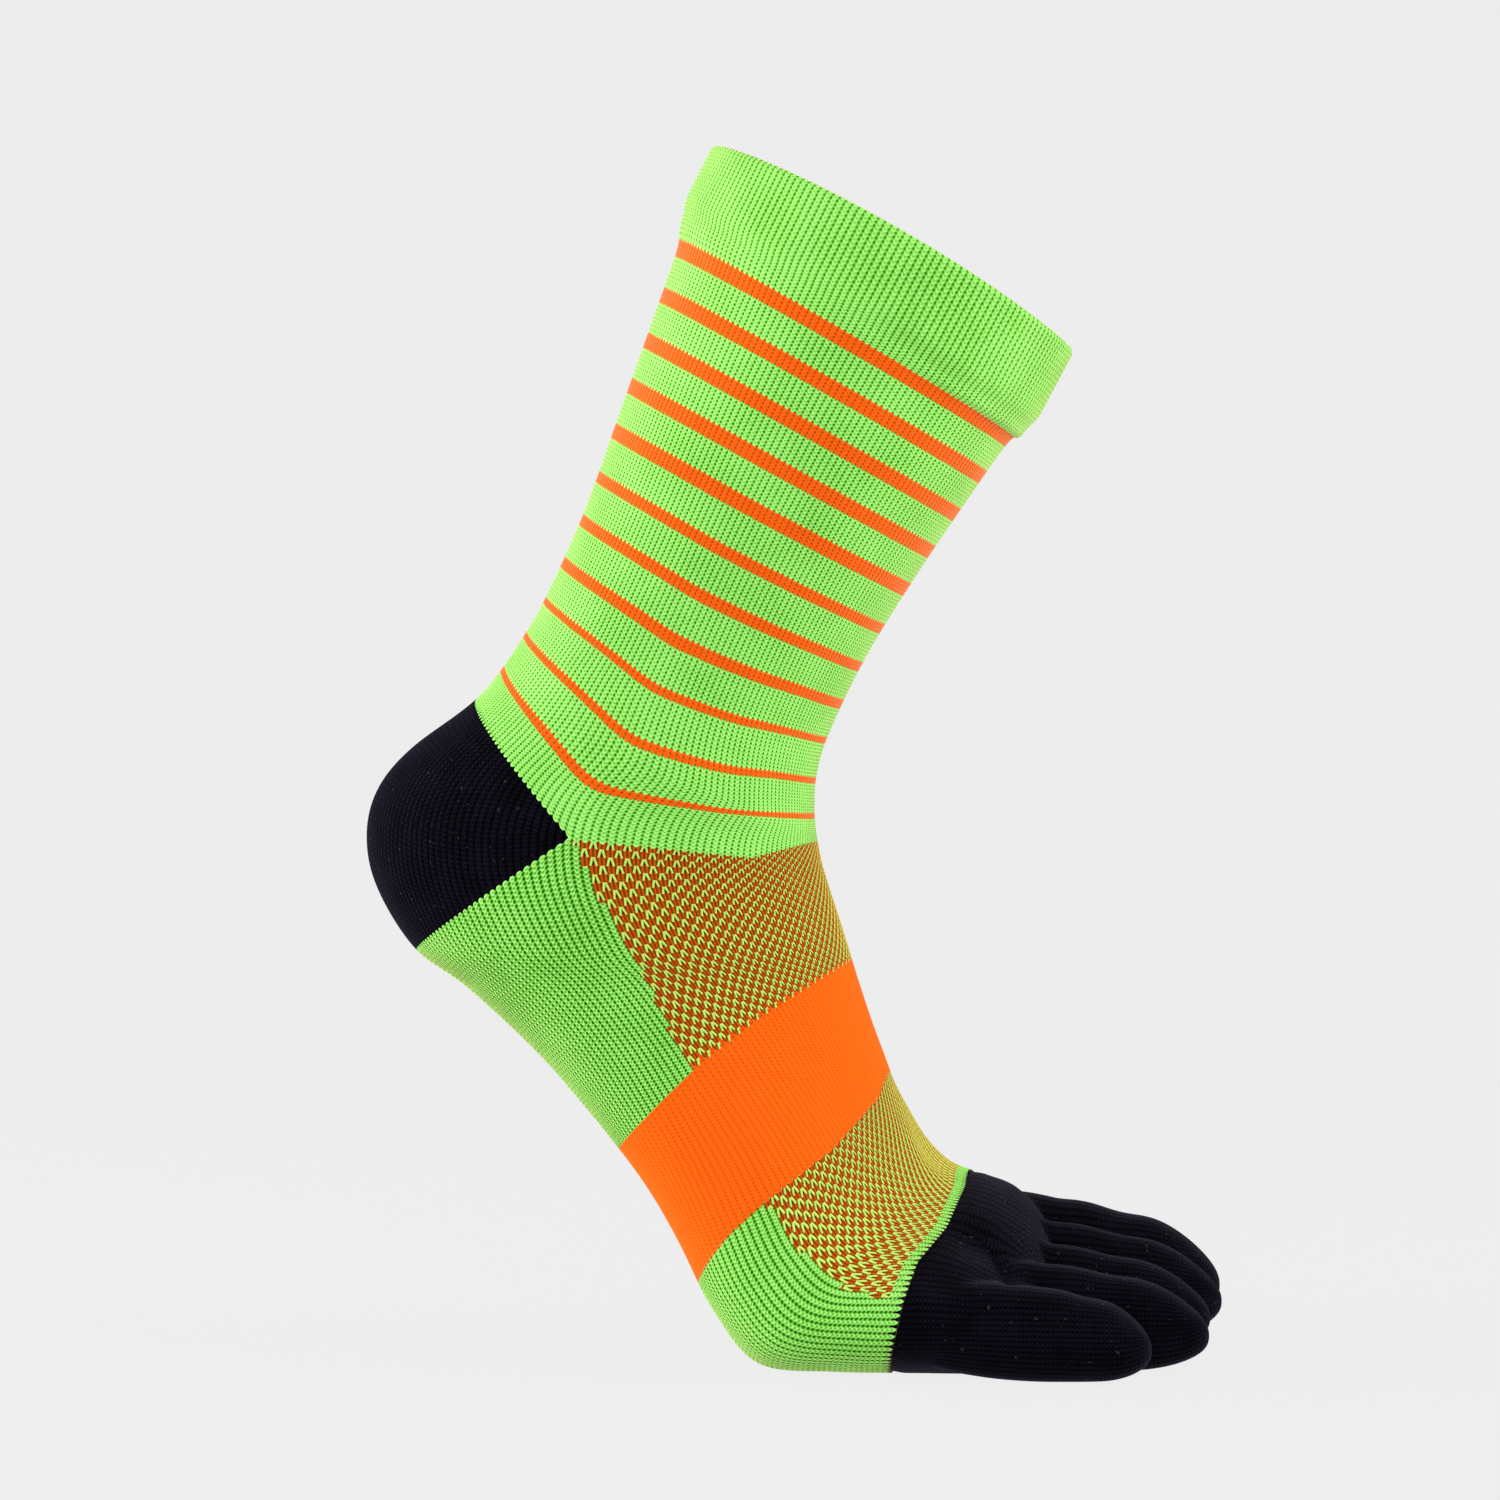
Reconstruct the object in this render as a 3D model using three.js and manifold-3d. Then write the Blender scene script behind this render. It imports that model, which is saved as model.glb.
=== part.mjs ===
// Right-foot toe sock, standing on its toes as if a foot were in it.
// Millimetres, +X to the toes, +Y to the inner side of the foot, +Z up.
// The origin is the middle of the ankle.

import * as THREE from 'three';
import { ParametricGeometry } from 'three/addons/geometries/ParametricGeometry.js';
import { mergeVertices } from 'three/addons/utils/BufferGeometryUtils.js';
import Module from 'manifold-3d';

const wasm = await Module();
wasm.setup();

// Driving dimensions of the whole sock
const cuffRise = 145;       // ankle up to the calf side of the cuff's rim
const cuffReach = 96;       // ankle forward to the shin side of the cuff's rim
const ankleHeight = 135.2;  // ankle down to the ground
const heelReach = 68.4;     // ankle back to the end of the heel
const toeReach = 130;       // ankle forward to the end of the longest toe
const legWidth = 88;        // across the leg at the cuff
const footWidth = 92;       // across the ball of the foot
const toeHeight = 32;       // top of the big toe's root above the ground

// Cloth and clearances
const knitWall = 1.6;       // single knit of leg, foot and toes
const weltWall = 2.6;       // folded double knit of the cuff
const weltProud = 1.0;      // how far the cuff stands out from the leg
const rimCrown = 2.0;       // rise of the cuff's rim at its two sides
const weltWallRound = 0.6;  // 1 rounds the welt's wall fully, 0 leaves it square
const weltRimRound = 0.25;  // the same for its rim and hem
const seamGap = 0.3;        // between neighbouring pieces
const toeGap = 0.7;         // between neighbouring toes

// Facets
const bodySides = 24;
const bodyRingsPerRow = 2;
const weltSides = 10;
const toeSides = 12;
const toeRings = 7;
const weldDistance = 1e-4;
const rowsAboveRim = 1;     // how far the hollow runs on above the rim, so that it is open there

// Lengths along X and Z are shares of the sizes that they follow.
const legX = (share) => share * (share < 0 ? heelReach : cuffReach);
const footX = (share) => share * (share < 0 ? heelReach : toeReach);
const levelZ = (share) => share * (share < 0 ? ankleHeight : cuffRise);

// Sections of the leg from the rim down to the heel's upper corner.
// Each lies in the plane through its shin point and its calf point, square to the side view.
// half: half the width as a share of legWidth. sole: fullness of the back half, 2 is an ellipse.
// taper: how much wider the back is than the front. ridge: the front's shift to the inner side.
const legRows = [
  // shinX   shinZ   calfX   calfZ   half   sole  taper  ridge
  [0.992, 0.672, 0.142, 0.994, 0.500, 2.05, 0.02, 0.00],
  [0.884, 0.542, 0.060, 0.885, 0.488, 2.05, 0.02, 0.00],
  [0.840, 0.522, 0.044, 0.829, 0.482, 2.05, 0.02, 0.00],
  [0.722, 0.412, -0.040, 0.694, 0.460, 2.05, 0.03, 0.00],
  [0.604, 0.296, -0.148, 0.553, 0.430, 2.05, 0.04, 0.00],
  [0.492, 0.175, -0.258, 0.412, 0.398, 2.05, 0.05, 0.00],
  [0.405, 0.055, -0.394, 0.274, 0.380, 2.05, 0.05, 0.00],
  [0.377, -0.010, -0.472, 0.214, 0.384, 2.08, 0.05, 0.00],
  [0.372, -0.065, -0.560, 0.160, 0.392, 2.10, 0.04, 0.00],
  [0.375, -0.100, -0.650, 0.118, 0.396, 2.12, 0.03, 0.00],
];

// Sections that fan round the heel and then run along the foot to the roots of the toes.
// half is a share of footWidth.
const footRows = [
  // topX    topZ    soleX   soleZ   half   sole  taper  ridge
  [0.282, -0.129, -0.860, 0.042, 0.376, 2.14, 0.02, 0.00],
  [0.288, -0.158, -0.976, -0.030, 0.372, 2.16, 0.00, 0.00],
  [0.297, -0.189, -1.012, -0.112, 0.367, 2.20, 0.00, 0.02],
  [0.311, -0.232, -0.974, -0.202, 0.362, 2.24, 0.02, 0.04],
  [0.334, -0.303, -0.842, -0.306, 0.357, 2.30, 0.04, 0.06],
  [0.349, -0.353, -0.654, -0.374, 0.354, 2.40, 0.06, 0.09],
  [0.374, -0.430, -0.418, -0.480, 0.362, 2.50, 0.09, 0.13],
  [0.396, -0.490, -0.262, -0.568, 0.378, 2.60, 0.11, 0.16],
  [0.415, -0.542, -0.100, -0.678, 0.402, 2.70, 0.13, 0.20],
  [0.444, -0.593, 0.040, -0.808, 0.432, 2.80, 0.15, 0.24],
  [0.477, -0.644, 0.112, -0.918, 0.462, 2.90, 0.16, 0.28],
  [0.518, -0.684, 0.194, -1.000, 0.486, 3.00, 0.15, 0.32],
  [0.572, -0.706, 0.330, -1.010, 0.500, 3.10, 0.12, 0.36],
  [0.620, -0.726, 0.470, -1.010, 0.500, 3.10, 0.08, 0.40],
  [0.660, -0.764, 0.590, -1.010, 0.490, 3.10, 0.04, 0.42],
  [0.690, -0.806, 0.680, -1.010, 0.478, 3.10, 0.00, 0.42],
];
const topFullness = 2.08;   // fullness of the front half of every section

// Dents of the empty cloth. x, y, z: middle, y as a share of half footWidth. length, width, depth:
// shares of toeHeight. slope: turn of the length in the side view, in degrees.
const dentRows = [
  { place: 'behind the little toe', x: 0.600, y: -0.62, z: -0.800, length: 0.36, width: 0.13, depth: 0.13, slope: -36 },
  { place: 'fold over the instep', x: 0.485, y: 0.20, z: -0.655, length: 0.30, width: 0.10, depth: 0.06, slope: -60 },
];

// Toe pockets from the outer side to the inner side.
// width: share of footWidth. tip: share of toeReach. height: share of toeHeight.
const toeRows = [
  { name: 'little_toe', width: 0.184, tip: 0.885, height: 0.64 },
  { name: 'fourth_toe', width: 0.178, tip: 0.984, height: 0.74 },
  { name: 'third_toe', width: 0.178, tip: 0.980, height: 0.82 },
  { name: 'second_toe', width: 0.188, tip: 0.998, height: 0.92 },
  { name: 'big_toe', width: 0.262, tip: 0.992, height: 1.02 },
];
const toeStart = 0.46;      // where the toe lofts begin inside the foot, share of toeReach
const toeRoot = 0.70;       // gaps between the toes, share of toeReach
const toeNarrow = 0.62;     // width and height of a loft's start, share of the root's
const toeRise = 0.24;       // extra height of a loft's start, where the foot is thicker
const toeSlim = 0.36;       // loss of height from root to tip
const toeDome = 0.50;       // share of the free length where the round tip begins
const toeFullness = 2.3;    // of a toe's section, 2 is an ellipse
const tipFullness = 2.4;    // of the round tip, seen from above
const tipSize = 0.05;       // half size of the last ring of a tip, in millimetres

// Side-view lines between the zones, each point as shares [x, z]. Lines run past the sock's outline.
const heelApex = [-0.253, -0.113];
const bandCorner = [0.095, -0.498];
const meshCorner = [0.224, -0.709];
const toeCorner = [0.466, -0.872];
const heelTopEnd = [-1.60, 0.637];
const heelUnderEnd = [-1.60, -0.553];
const legHem = [heelApex, [0.00, -0.124], [0.186, -0.145], [0.283, -0.120], [0.60, -0.04]];
const meshRear = [heelApex, [-0.139, -0.208], [-0.003, -0.330], [0.042, -0.416], bandCorner];
const bandRearSole = [[-0.30, -0.74], [-0.097, -0.639], [0.029, -0.561], bandCorner];
const bandRearTop = [bandCorner, [0.203, -0.415], [0.340, -0.329], [0.60, -0.17]];
const bandFrontSole = [[0.05, -1.10], [0.091, -0.857], [0.126, -0.806], [0.162, -0.763], meshCorner];
const bandFrontTop = [meshCorner, [0.331, -0.629], [0.396, -0.556], [0.403, -0.525], [0.50, -0.30]];
const meshFront = [meshCorner, [0.287, -0.788], [0.374, -0.851], toeCorner];
const toeHemSole = [[0.430, -1.10], [0.437, -0.994], [0.452, -0.930], toeCorner];
const toeHemTop = [toeCorner, [0.486, -0.809], [0.527, -0.764], [0.547, -0.711], [0.525, -0.60]];
const toeLine = [[0.722, -0.50], [0.722, -1.10]];
const beyondToes = [[1.20, -1.10], [1.20, -0.50]];

// Colours read off the cloth
const green = new THREE.MeshStandardMaterial({ color: 0x86d95f, roughness: 0.95, metalness: 0 });
const orange = new THREE.MeshStandardMaterial({ color: 0xfb6612, roughness: 0.95, metalness: 0 });
const black = new THREE.MeshStandardMaterial({ color: 0x0c0b10, roughness: 0.95, metalness: 0 });
const mesh = new THREE.MeshStandardMaterial({ color: 0xad8d37, roughness: 0.95, metalness: 0 });

// Smooth curves through the section rows: front points, back points and the two pairs of form values.
function sectionCurves() {
  const rows = [
    ...legRows.map(([fx, fz, bx, bz, half, ...form]) =>
      [legX(fx), levelZ(fz), legX(bx), levelZ(bz), half * legWidth, ...form]),
    ...footRows.map(([fx, fz, bx, bz, half, ...form]) =>
      [footX(fx), levelZ(fz), footX(bx), levelZ(bz), half * footWidth, ...form]),
  ];
  const curve = (pick) => new THREE.CatmullRomCurve3(rows.map(pick), false, 'catmullrom', 0.5);
  return {
    front: curve((row) => new THREE.Vector3(row[0], 0, row[1])),
    back: curve((row) => new THREE.Vector3(row[2], 0, row[3])),
    width: curve((row) => new THREE.Vector3(row[4], 0, 0)),
    form: curve((row) => new THREE.Vector3(row[5], row[6], row[7])),
    last: rows.length - 1,
  };
}

const sections = sectionCurves();

function signedPower(value, power) {
  return Math.sign(value) * Math.abs(value) ** power;
}

// A curve's point at a station, carried on straight above the rim, where stations are negative.
function pointAtStation(curve, station) {
  const point = curve.getPoint(THREE.MathUtils.clamp(station / sections.last, 0, 1));
  if (station >= 0) {
    return point;
  }
  return point.lerp(curve.getPoint(1 / sections.last), station);
}

// A point of the sock's skin. station counts section rows from the rim, angle starts at the front,
// and inset moves the point into the cloth.
function bodyPoint(station, angle, inset, target) {
  const share = THREE.MathUtils.clamp(station / sections.last, 0, 1);
  const front = pointAtStation(sections.front, station);
  const back = pointAtStation(sections.back, station);
  const halfWidth = sections.width.getPoint(share).x - inset;
  const { x: sole, y: taper, z: ridge } = sections.form.getPoint(share);
  const centre = front.clone().add(back).multiplyScalar(0.5);
  const reach = front.clone().sub(centre);
  const fullness = Math.cos(angle) < 0 ? sole : topFullness;
  const along = signedPower(Math.cos(angle), 2 / fullness);
  const across = signedPower(Math.sin(angle), 2 / fullness);
  target.copy(centre).addScaledVector(reach, along * (1 - inset / reach.length()));
  target.y = halfWidth * (across * (1 - taper * along) + ridge * Math.max(along, 0));
  target.lerp(centre, dentAt(target) / Math.max(target.distanceTo(centre), 1));
  target.z = Math.max(target.z, inset - ankleHeight);
  return target;
}

// How far the cloth sinks in at a point, summed over the dents.
function dentAt(point) {
  return dentRows.reduce((sum, dent) => {
    const slope = THREE.MathUtils.degToRad(dent.slope);
    const dx = point.x - footX(dent.x);
    const dy = point.y - dent.y * footWidth / 2;
    const dz = point.z - levelZ(dent.z);
    const lengthwise = (dx * Math.cos(slope) + dz * Math.sin(slope)) / (dent.length * toeHeight);
    const crosswise = (dz * Math.cos(slope) - dx * Math.sin(slope)) / (dent.width * toeHeight);
    const sideways = dy / (dent.length * toeHeight);
    return sum + dent.depth * toeHeight * Math.exp(-(lengthwise ** 2) - crosswise ** 2 - sideways ** 2);
  }, 0);
}

// A closed tube of sections with a flat cap at each end, where pointAt(share, angle, target) is its skin.
function closedTube(pointAt, rings, sides) {
  const rows = rings + 2;
  const shapeAt = (turn, along, target) => {
    const row = Math.round(along * rows);
    const share = THREE.MathUtils.clamp((row - 1) / rings, 0, 1);
    if (row > 0 && row < rows) {
      return pointAt(share, -turn * 2 * Math.PI, target);
    }
    const opposite = pointAt(share, Math.PI, new THREE.Vector3());
    return pointAt(share, 0, target).add(opposite).multiplyScalar(0.5);
  };
  return solidOf(new ParametricGeometry(shapeAt, sides, rows));
}

// A closed three.js geometry as a solid, with shared corners merged and collapsed faces dropped.
function solidOf(geometry) {
  geometry.deleteAttribute('normal');
  geometry.deleteAttribute('uv');
  const welded = mergeVertices(geometry, weldDistance);
  const corners = welded.index.array;
  const faces = [];
  for (let i = 0; i < corners.length; i += 3) {
    const [a, b, c] = [corners[i], corners[i + 1], corners[i + 2]];
    if (a !== b && b !== c && c !== a) {
      faces.push(a, b, c);
    }
  }
  const vertProperties = new Float32Array(welded.attributes.position.array);
  const triVerts = new Uint32Array(faces);
  return new wasm.Manifold(new wasm.Mesh({ numProp: 3, vertProperties, triVerts }));
}

// The named three.js mesh of a solid.
function piece(name, solid, material) {
  const { vertProperties, triVerts } = solid.getMesh();
  const geometry = new THREE.BufferGeometry();
  geometry.setAttribute('position', new THREE.Float32BufferAttribute(vertProperties, 3));
  geometry.setIndex(new THREE.Uint32BufferAttribute(triVerts, 1));
  geometry.computeVertexNormals();
  const result = new THREE.Mesh(geometry, material);
  result.name = name;
  return result;
}

// Leg and foot as one filled form from aboveRim stations over the rim to the roots of the toes.
function bodyForm(inset, aboveRim) {
  const rings = sections.last * bodyRingsPerRow;
  const pointAt = (share, angle, target) => {
    const station = share === 0 ? -aboveRim : share * sections.last;
    return bodyPoint(station, angle, inset, target);
  };
  return closedTube(pointAt, rings, bodySides);
}

// The toes' lanes across the foot, from the outer edge inwards, with toeGap between them.
function toeLanes() {
  const total = toeRows.reduce((sum, row) => sum + row.width * footWidth, 0);
  let edge = -(total + toeGap * (toeRows.length - 1)) / 2;
  return toeRows.map((row) => {
    const width = row.width * footWidth;
    const lane = { ...row, middle: edge + width / 2, half: width / 2 };
    edge += width + toeGap;
    return lane;
  });
}

// One toe as a filled loft from inside the foot to its round tip.
function toeForm(lane, inset) {
  const startX = toeStart * toeReach;
  const rootX = toeRoot * toeReach;
  const tipX = lane.tip * toeReach - inset;
  const pointAt = (share, angle, target) => {
    const run = Math.sin(share * Math.PI / 2);
    const x = THREE.MathUtils.lerp(startX, tipX, run);
    const free = THREE.MathUtils.clamp((x - rootX) / (tipX - rootX), 0, 1);
    const beyond = Math.max(0, (free - toeDome) / (1 - toeDome));
    const dome = Math.max(0, 1 - beyond ** tipFullness) ** (1 / tipFullness);
    const buried = THREE.MathUtils.clamp((rootX - x) / (rootX - startX), 0, 1);
    const narrow = 1 - (1 - toeNarrow) * buried ** 2;
    const outer = lane.height * toeHeight / 2 * (1 - toeSlim * free ** 2 + toeRise * buried);
    const high = Math.max(tipSize, (outer - inset) * dome * narrow);
    const wide = Math.max(tipSize, (lane.half - inset) * dome * narrow);
    target.x = x;
    target.y = lane.middle + wide * signedPower(Math.sin(angle), 2 / toeFullness);
    target.z = outer - ankleHeight + high * signedPower(Math.cos(angle), 2 / toeFullness);
    return target;
  };
  return closedTube(pointAt, toeRings, toeSides);
}

// The folded welt: a closed band whose rounded wall is swept round the top of the leg.
function weltForm() {
  const outside = -weltProud;
  const inside = weltWall - weltProud;
  const cuffDepth = sections.front.getPoint(0).distanceTo(sections.front.getPoint(1 / sections.last));
  const hem = 1 - seamGap / cuffDepth;
  const shapeAt = (turn, round, target) => {
    const angle = (Math.round(round * weltSides) % weltSides) / weltSides * 2 * Math.PI;
    const inset = (outside + inside) / 2 + (inside - outside) / 2 * signedPower(Math.cos(angle), weltWallRound);
    const side = Math.sin(turn * 2 * Math.PI) ** 2;
    const rim = rimCrown / cuffDepth * side;
    const station = -rim + (hem + rim) / 2 * (1 + signedPower(Math.sin(angle), weltRimRound));
    return bodyPoint(station, turn * 2 * Math.PI, inset, target);
  };
  return solidOf(new ParametricGeometry(shapeAt, bodySides, weltSides));
}

// A side-view outline moved inwards by half the seam gap.
function shrink(points) {
  const turn = Math.sign(THREE.ShapeUtils.area(points));
  const inward = (from, to) => {
    const edge = to.clone().sub(from).normalize();
    return new THREE.Vector2(-edge.y, edge.x).multiplyScalar(turn);
  };
  return points.map((point, i) => {
    const before = inward(points.at(i - 1), point);
    const after = inward(point, points[(i + 1) % points.length]);
    const miter = before.clone().add(after).multiplyScalar(seamGap / 2 / (1 + before.dot(after)));
    return point.clone().add(miter);
  });
}

// The space across the whole foot inside a side-view outline.
function zone(points) {
  const depth = 2 * Math.max(footWidth, legWidth);
  const shape = new THREE.Shape(shrink(points));
  const geometry = new THREE.ExtrudeGeometry(shape, { depth, bevelEnabled: false });
  geometry.rotateX(Math.PI / 2);
  geometry.translate(0, depth / 2, 0);
  return solidOf(geometry);
}

// The cuff's hem: the section plane of the second row, as a side-view line past the outline.
function cuffHem() {
  const front = pointAtStation(sections.front, 1);
  const back = pointAtStation(sections.back, 1);
  const reach = front.clone().sub(back);
  const past = [back.sub(reach), front.add(reach)];
  return past.map((point) => new THREE.Vector2(point.x, point.z));
}

// The side-view outline of each zone below the cuff.
function zoneOutlines() {
  const outline = (...lines) => {
    const points = lines.flat().map(([x, z]) => new THREE.Vector2(footX(x), levelZ(z)));
    return points.filter((point, i) => !point.equals(points.at(i - 1)));
  };
  const flipped = (line) => [...line].reverse();
  return {
    leg: [...cuffHem(), ...outline(flipped(legHem), [heelTopEnd])],
    heel_pocket: outline([heelTopEnd, heelApex, heelUnderEnd]),
    rear_instep_mesh: outline(legHem, flipped(bandRearTop), flipped(meshRear)),
    rear_sole: outline(meshRear, flipped(bandRearSole), [heelUnderEnd]),
    arch_band: outline(bandRearSole, bandRearTop, flipped(bandFrontTop), flipped(bandFrontSole)),
    front_instep_mesh: outline(bandFrontTop, flipped(toeHemTop), flipped(meshFront)),
    front_sole: outline(bandFrontSole, meshFront, flipped(toeHemSole)),
    toe_base: outline(toeHemSole, toeHemTop, toeLine),
  };
}

const zoneColours = {
  leg: green,
  heel_pocket: black,
  rear_instep_mesh: mesh,
  rear_sole: green,
  arch_band: orange,
  front_instep_mesh: mesh,
  front_sole: green,
  toe_base: black,
};

// The whole sock: the cuff, the zones cut from one hollow form, and the five toe pockets.
function buildSock() {
  const sock = new THREE.Group();
  const lanes = toeLanes();
  const filled = lanes.reduce((form, lane) => form.add(toeForm(lane, 0)), bodyForm(0, 0));
  const hollow = lanes.reduce((form, lane) => form.add(toeForm(lane, knitWall)), bodyForm(knitWall, rowsAboveRim));
  const shell = filled.subtract(hollow);
  sock.add(piece('cuff', weltForm(), green));
  for (const [name, outline] of Object.entries(zoneOutlines())) {
    sock.add(piece(name, shell.intersect(zone(outline)), zoneColours[name]));
  }
  const toeZone = zone([...toeLine, ...beyondToes].map(([x, z]) => new THREE.Vector2(footX(x), levelZ(z))));
  for (const lane of lanes) {
    sock.add(piece(lane.name, toeForm(lane, 0).subtract(hollow).intersect(toeZone), black));
  }
  return sock;
}

export default buildSock();
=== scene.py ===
import math

import bpy
import numpy as np
from bpy.props import FloatProperty, FloatVectorProperty, IntProperty, PointerProperty
from bpy.types import Operator, Panel, PropertyGroup
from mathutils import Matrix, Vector


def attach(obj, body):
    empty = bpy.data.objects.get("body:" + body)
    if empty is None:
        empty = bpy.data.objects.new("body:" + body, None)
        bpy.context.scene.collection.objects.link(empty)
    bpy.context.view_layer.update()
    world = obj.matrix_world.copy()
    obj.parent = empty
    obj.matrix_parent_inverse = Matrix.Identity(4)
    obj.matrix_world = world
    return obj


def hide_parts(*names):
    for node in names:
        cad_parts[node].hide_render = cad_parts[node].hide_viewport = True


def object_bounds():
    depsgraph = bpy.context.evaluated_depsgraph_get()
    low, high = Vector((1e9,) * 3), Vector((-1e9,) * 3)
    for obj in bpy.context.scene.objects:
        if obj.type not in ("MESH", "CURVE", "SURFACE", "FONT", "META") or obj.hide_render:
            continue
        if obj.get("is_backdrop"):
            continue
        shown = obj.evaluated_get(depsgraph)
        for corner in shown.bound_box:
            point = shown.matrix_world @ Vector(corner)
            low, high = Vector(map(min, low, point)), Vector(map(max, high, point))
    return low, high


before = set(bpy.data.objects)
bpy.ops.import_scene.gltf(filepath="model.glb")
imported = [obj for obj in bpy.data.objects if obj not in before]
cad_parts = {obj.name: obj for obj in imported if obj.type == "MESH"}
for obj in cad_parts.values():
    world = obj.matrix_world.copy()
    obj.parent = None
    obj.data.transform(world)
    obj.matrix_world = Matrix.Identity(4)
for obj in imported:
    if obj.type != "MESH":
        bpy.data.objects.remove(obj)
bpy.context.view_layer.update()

bl_info = {
    "name": "Toe sock",
    "version": (1, 0, 0),
    "blender": (4, 5, 0),
    "location": "3D View > Sidebar > Sock",
    "description": "Knits a toe sock with a striped leg, zone by zone, on its frame",
    "category": "Add Mesh",
}

# Lengths are in metres. The frame is +X to the toes, +Y to the inner side of the foot, +Z up,
# with the origin in the middle of the ankle.

# Sections of the leg from the rim down to the heel's upper corner, lengths as shares of the sizes.
LEG_ROWS = (
    # shinX shinZ calfX calfZ half sole taper ridge
    (0.992, 0.672, 0.142, 0.994, 0.500, 2.05, 0.02, 0.00),
    (0.884, 0.542, 0.060, 0.885, 0.488, 2.05, 0.02, 0.00),
    (0.840, 0.522, 0.044, 0.829, 0.482, 2.05, 0.02, 0.00),
    (0.722, 0.412, -0.040, 0.694, 0.460, 2.05, 0.03, 0.00),
    (0.604, 0.296, -0.148, 0.553, 0.430, 2.05, 0.04, 0.00),
    (0.492, 0.175, -0.258, 0.412, 0.398, 2.05, 0.05, 0.00),
    (0.405, 0.055, -0.394, 0.274, 0.380, 2.05, 0.05, 0.00),
    (0.377, -0.010, -0.472, 0.214, 0.384, 2.08, 0.05, 0.00),
    (0.372, -0.065, -0.560, 0.160, 0.392, 2.10, 0.04, 0.00),
    (0.375, -0.100, -0.650, 0.118, 0.396, 2.12, 0.03, 0.00),
)
# Sections that fan round the heel and run along the foot to the roots of the toes.
FOOT_ROWS = (
    # topX topZ soleX soleZ half sole taper ridge
    (0.282, -0.129, -0.860, 0.042, 0.376, 2.14, 0.02, 0.00),
    (0.288, -0.158, -0.976, -0.030, 0.372, 2.16, 0.00, 0.00),
    (0.297, -0.189, -1.012, -0.112, 0.367, 2.20, 0.00, 0.02),
    (0.311, -0.232, -0.974, -0.202, 0.362, 2.24, 0.02, 0.04),
    (0.334, -0.303, -0.842, -0.306, 0.357, 2.30, 0.04, 0.06),
    (0.349, -0.353, -0.654, -0.374, 0.354, 2.40, 0.06, 0.09),
    (0.374, -0.430, -0.418, -0.480, 0.362, 2.50, 0.09, 0.13),
    (0.396, -0.490, -0.262, -0.568, 0.378, 2.60, 0.11, 0.16),
    (0.415, -0.542, -0.100, -0.678, 0.402, 2.70, 0.13, 0.20),
    (0.444, -0.593, 0.040, -0.808, 0.432, 2.80, 0.15, 0.24),
    (0.477, -0.644, 0.112, -0.918, 0.462, 2.90, 0.16, 0.28),
    (0.518, -0.684, 0.194, -1.000, 0.486, 3.00, 0.15, 0.32),
    (0.572, -0.706, 0.330, -1.010, 0.500, 3.10, 0.12, 0.36),
    (0.620, -0.726, 0.470, -1.010, 0.500, 3.10, 0.08, 0.40),
    (0.660, -0.764, 0.590, -1.010, 0.490, 3.10, 0.04, 0.42),
    (0.690, -0.806, 0.680, -1.010, 0.478, 3.10, 0.00, 0.42),
)
TOP_FULLNESS = 2.08
FACE, BACK, HALF, FORM = slice(0, 2), slice(2, 4), 4, slice(5, 8)

# Dents of the cloth: the middle's x, y and z as shares of toe reach, half the foot width and ankle
# height, then length, width and depth as shares of toe height, and the slope in degrees.
DENTS = (
    (0.600, -0.62, -0.800, 0.36, 0.13, 0.13, -36),
    (0.485, 0.20, -0.655, 0.30, 0.10, 0.06, -60),
    (-0.354, 0.00, 0.060, 0.60, 0.50, 0.064, 45),
    (-0.010, -0.50, -0.723, 0.68, 0.60, 0.045, -57),
    (-0.010, 0.00, -0.723, 0.68, 0.60, 0.045, -57),
    (-0.010, 0.50, -0.723, 0.68, 0.60, 0.045, -57),
)

# Creases of the black knit over the toes' roots, in the same columns. A negative depth is a ridge.
CREASES = (
    (0.640, -0.56, -0.840, 0.30, 0.038, 0.085, -48),
    (0.600, -0.56, -0.812, 0.26, 0.035, -0.025, -48),
    (0.668, -0.50, -0.872, 0.30, 0.045, -0.020, -44),
    (0.655, 0.05, -0.770, 0.42, 0.060, -0.035, -62),
    (0.560, 0.10, -0.712, 0.22, 0.050, 0.020, -70),
)
RECESS = 0.0003         # depth of the black knit under the green edge
RECESS_END = 0.0030     # length over which the black knit comes up again
PROUD = 0.00012         # how far it then stands out

# Toes from the outer side to the inner side: name, width as a share of foot width, tip as one of
# toe reach, then height and lift of the tip as shares of toe height
TOES = (
    ("little_toe", 0.184, 0.885, 0.64, 0.03),
    ("fourth_toe", 0.178, 0.980, 0.74, 0.04),
    ("third_toe", 0.178, 0.980, 0.82, 0.10),
    ("second_toe", 0.188, 0.998, 0.92, 0.14),
    ("big_toe", 0.262, 0.992, 1.02, 0.14),
)
TOE_START = 0.46        # share of toe reach at which a toe's tube begins, inside the foot
TOE_ROOT = 0.70
TOE_NARROW = 0.62       # width at the start of the tube
TOE_RISE = 0.24         # extra height there
TOE_SLIM = 0.36         # height lost towards the tip
TOE_DOME = 0.50         # share of the free toe at which its end rounds in
TOE_FULLNESS = 2.3
TIP_FULLNESS = 2.4
TOE_LINE = 0.722        # share of toe reach at which the forefoot ends and the toes begin
TOE_WALES = 46
KNUCKLE = 0.040         # depth of the waist before a toe's round end
KNUCKLE_PLACE = 0.38
KNUCKLE_RUN = 0.17
TOE_RINGS, TOE_SIDES = 48, 40
FOREFOOT_START = 17     # first section row of the skin that the toes are joined to
FOREFOOT_RINGS = 49
SKIN_SMOOTHING = 6      # rounds of smoothing after the toes are joined

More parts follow.
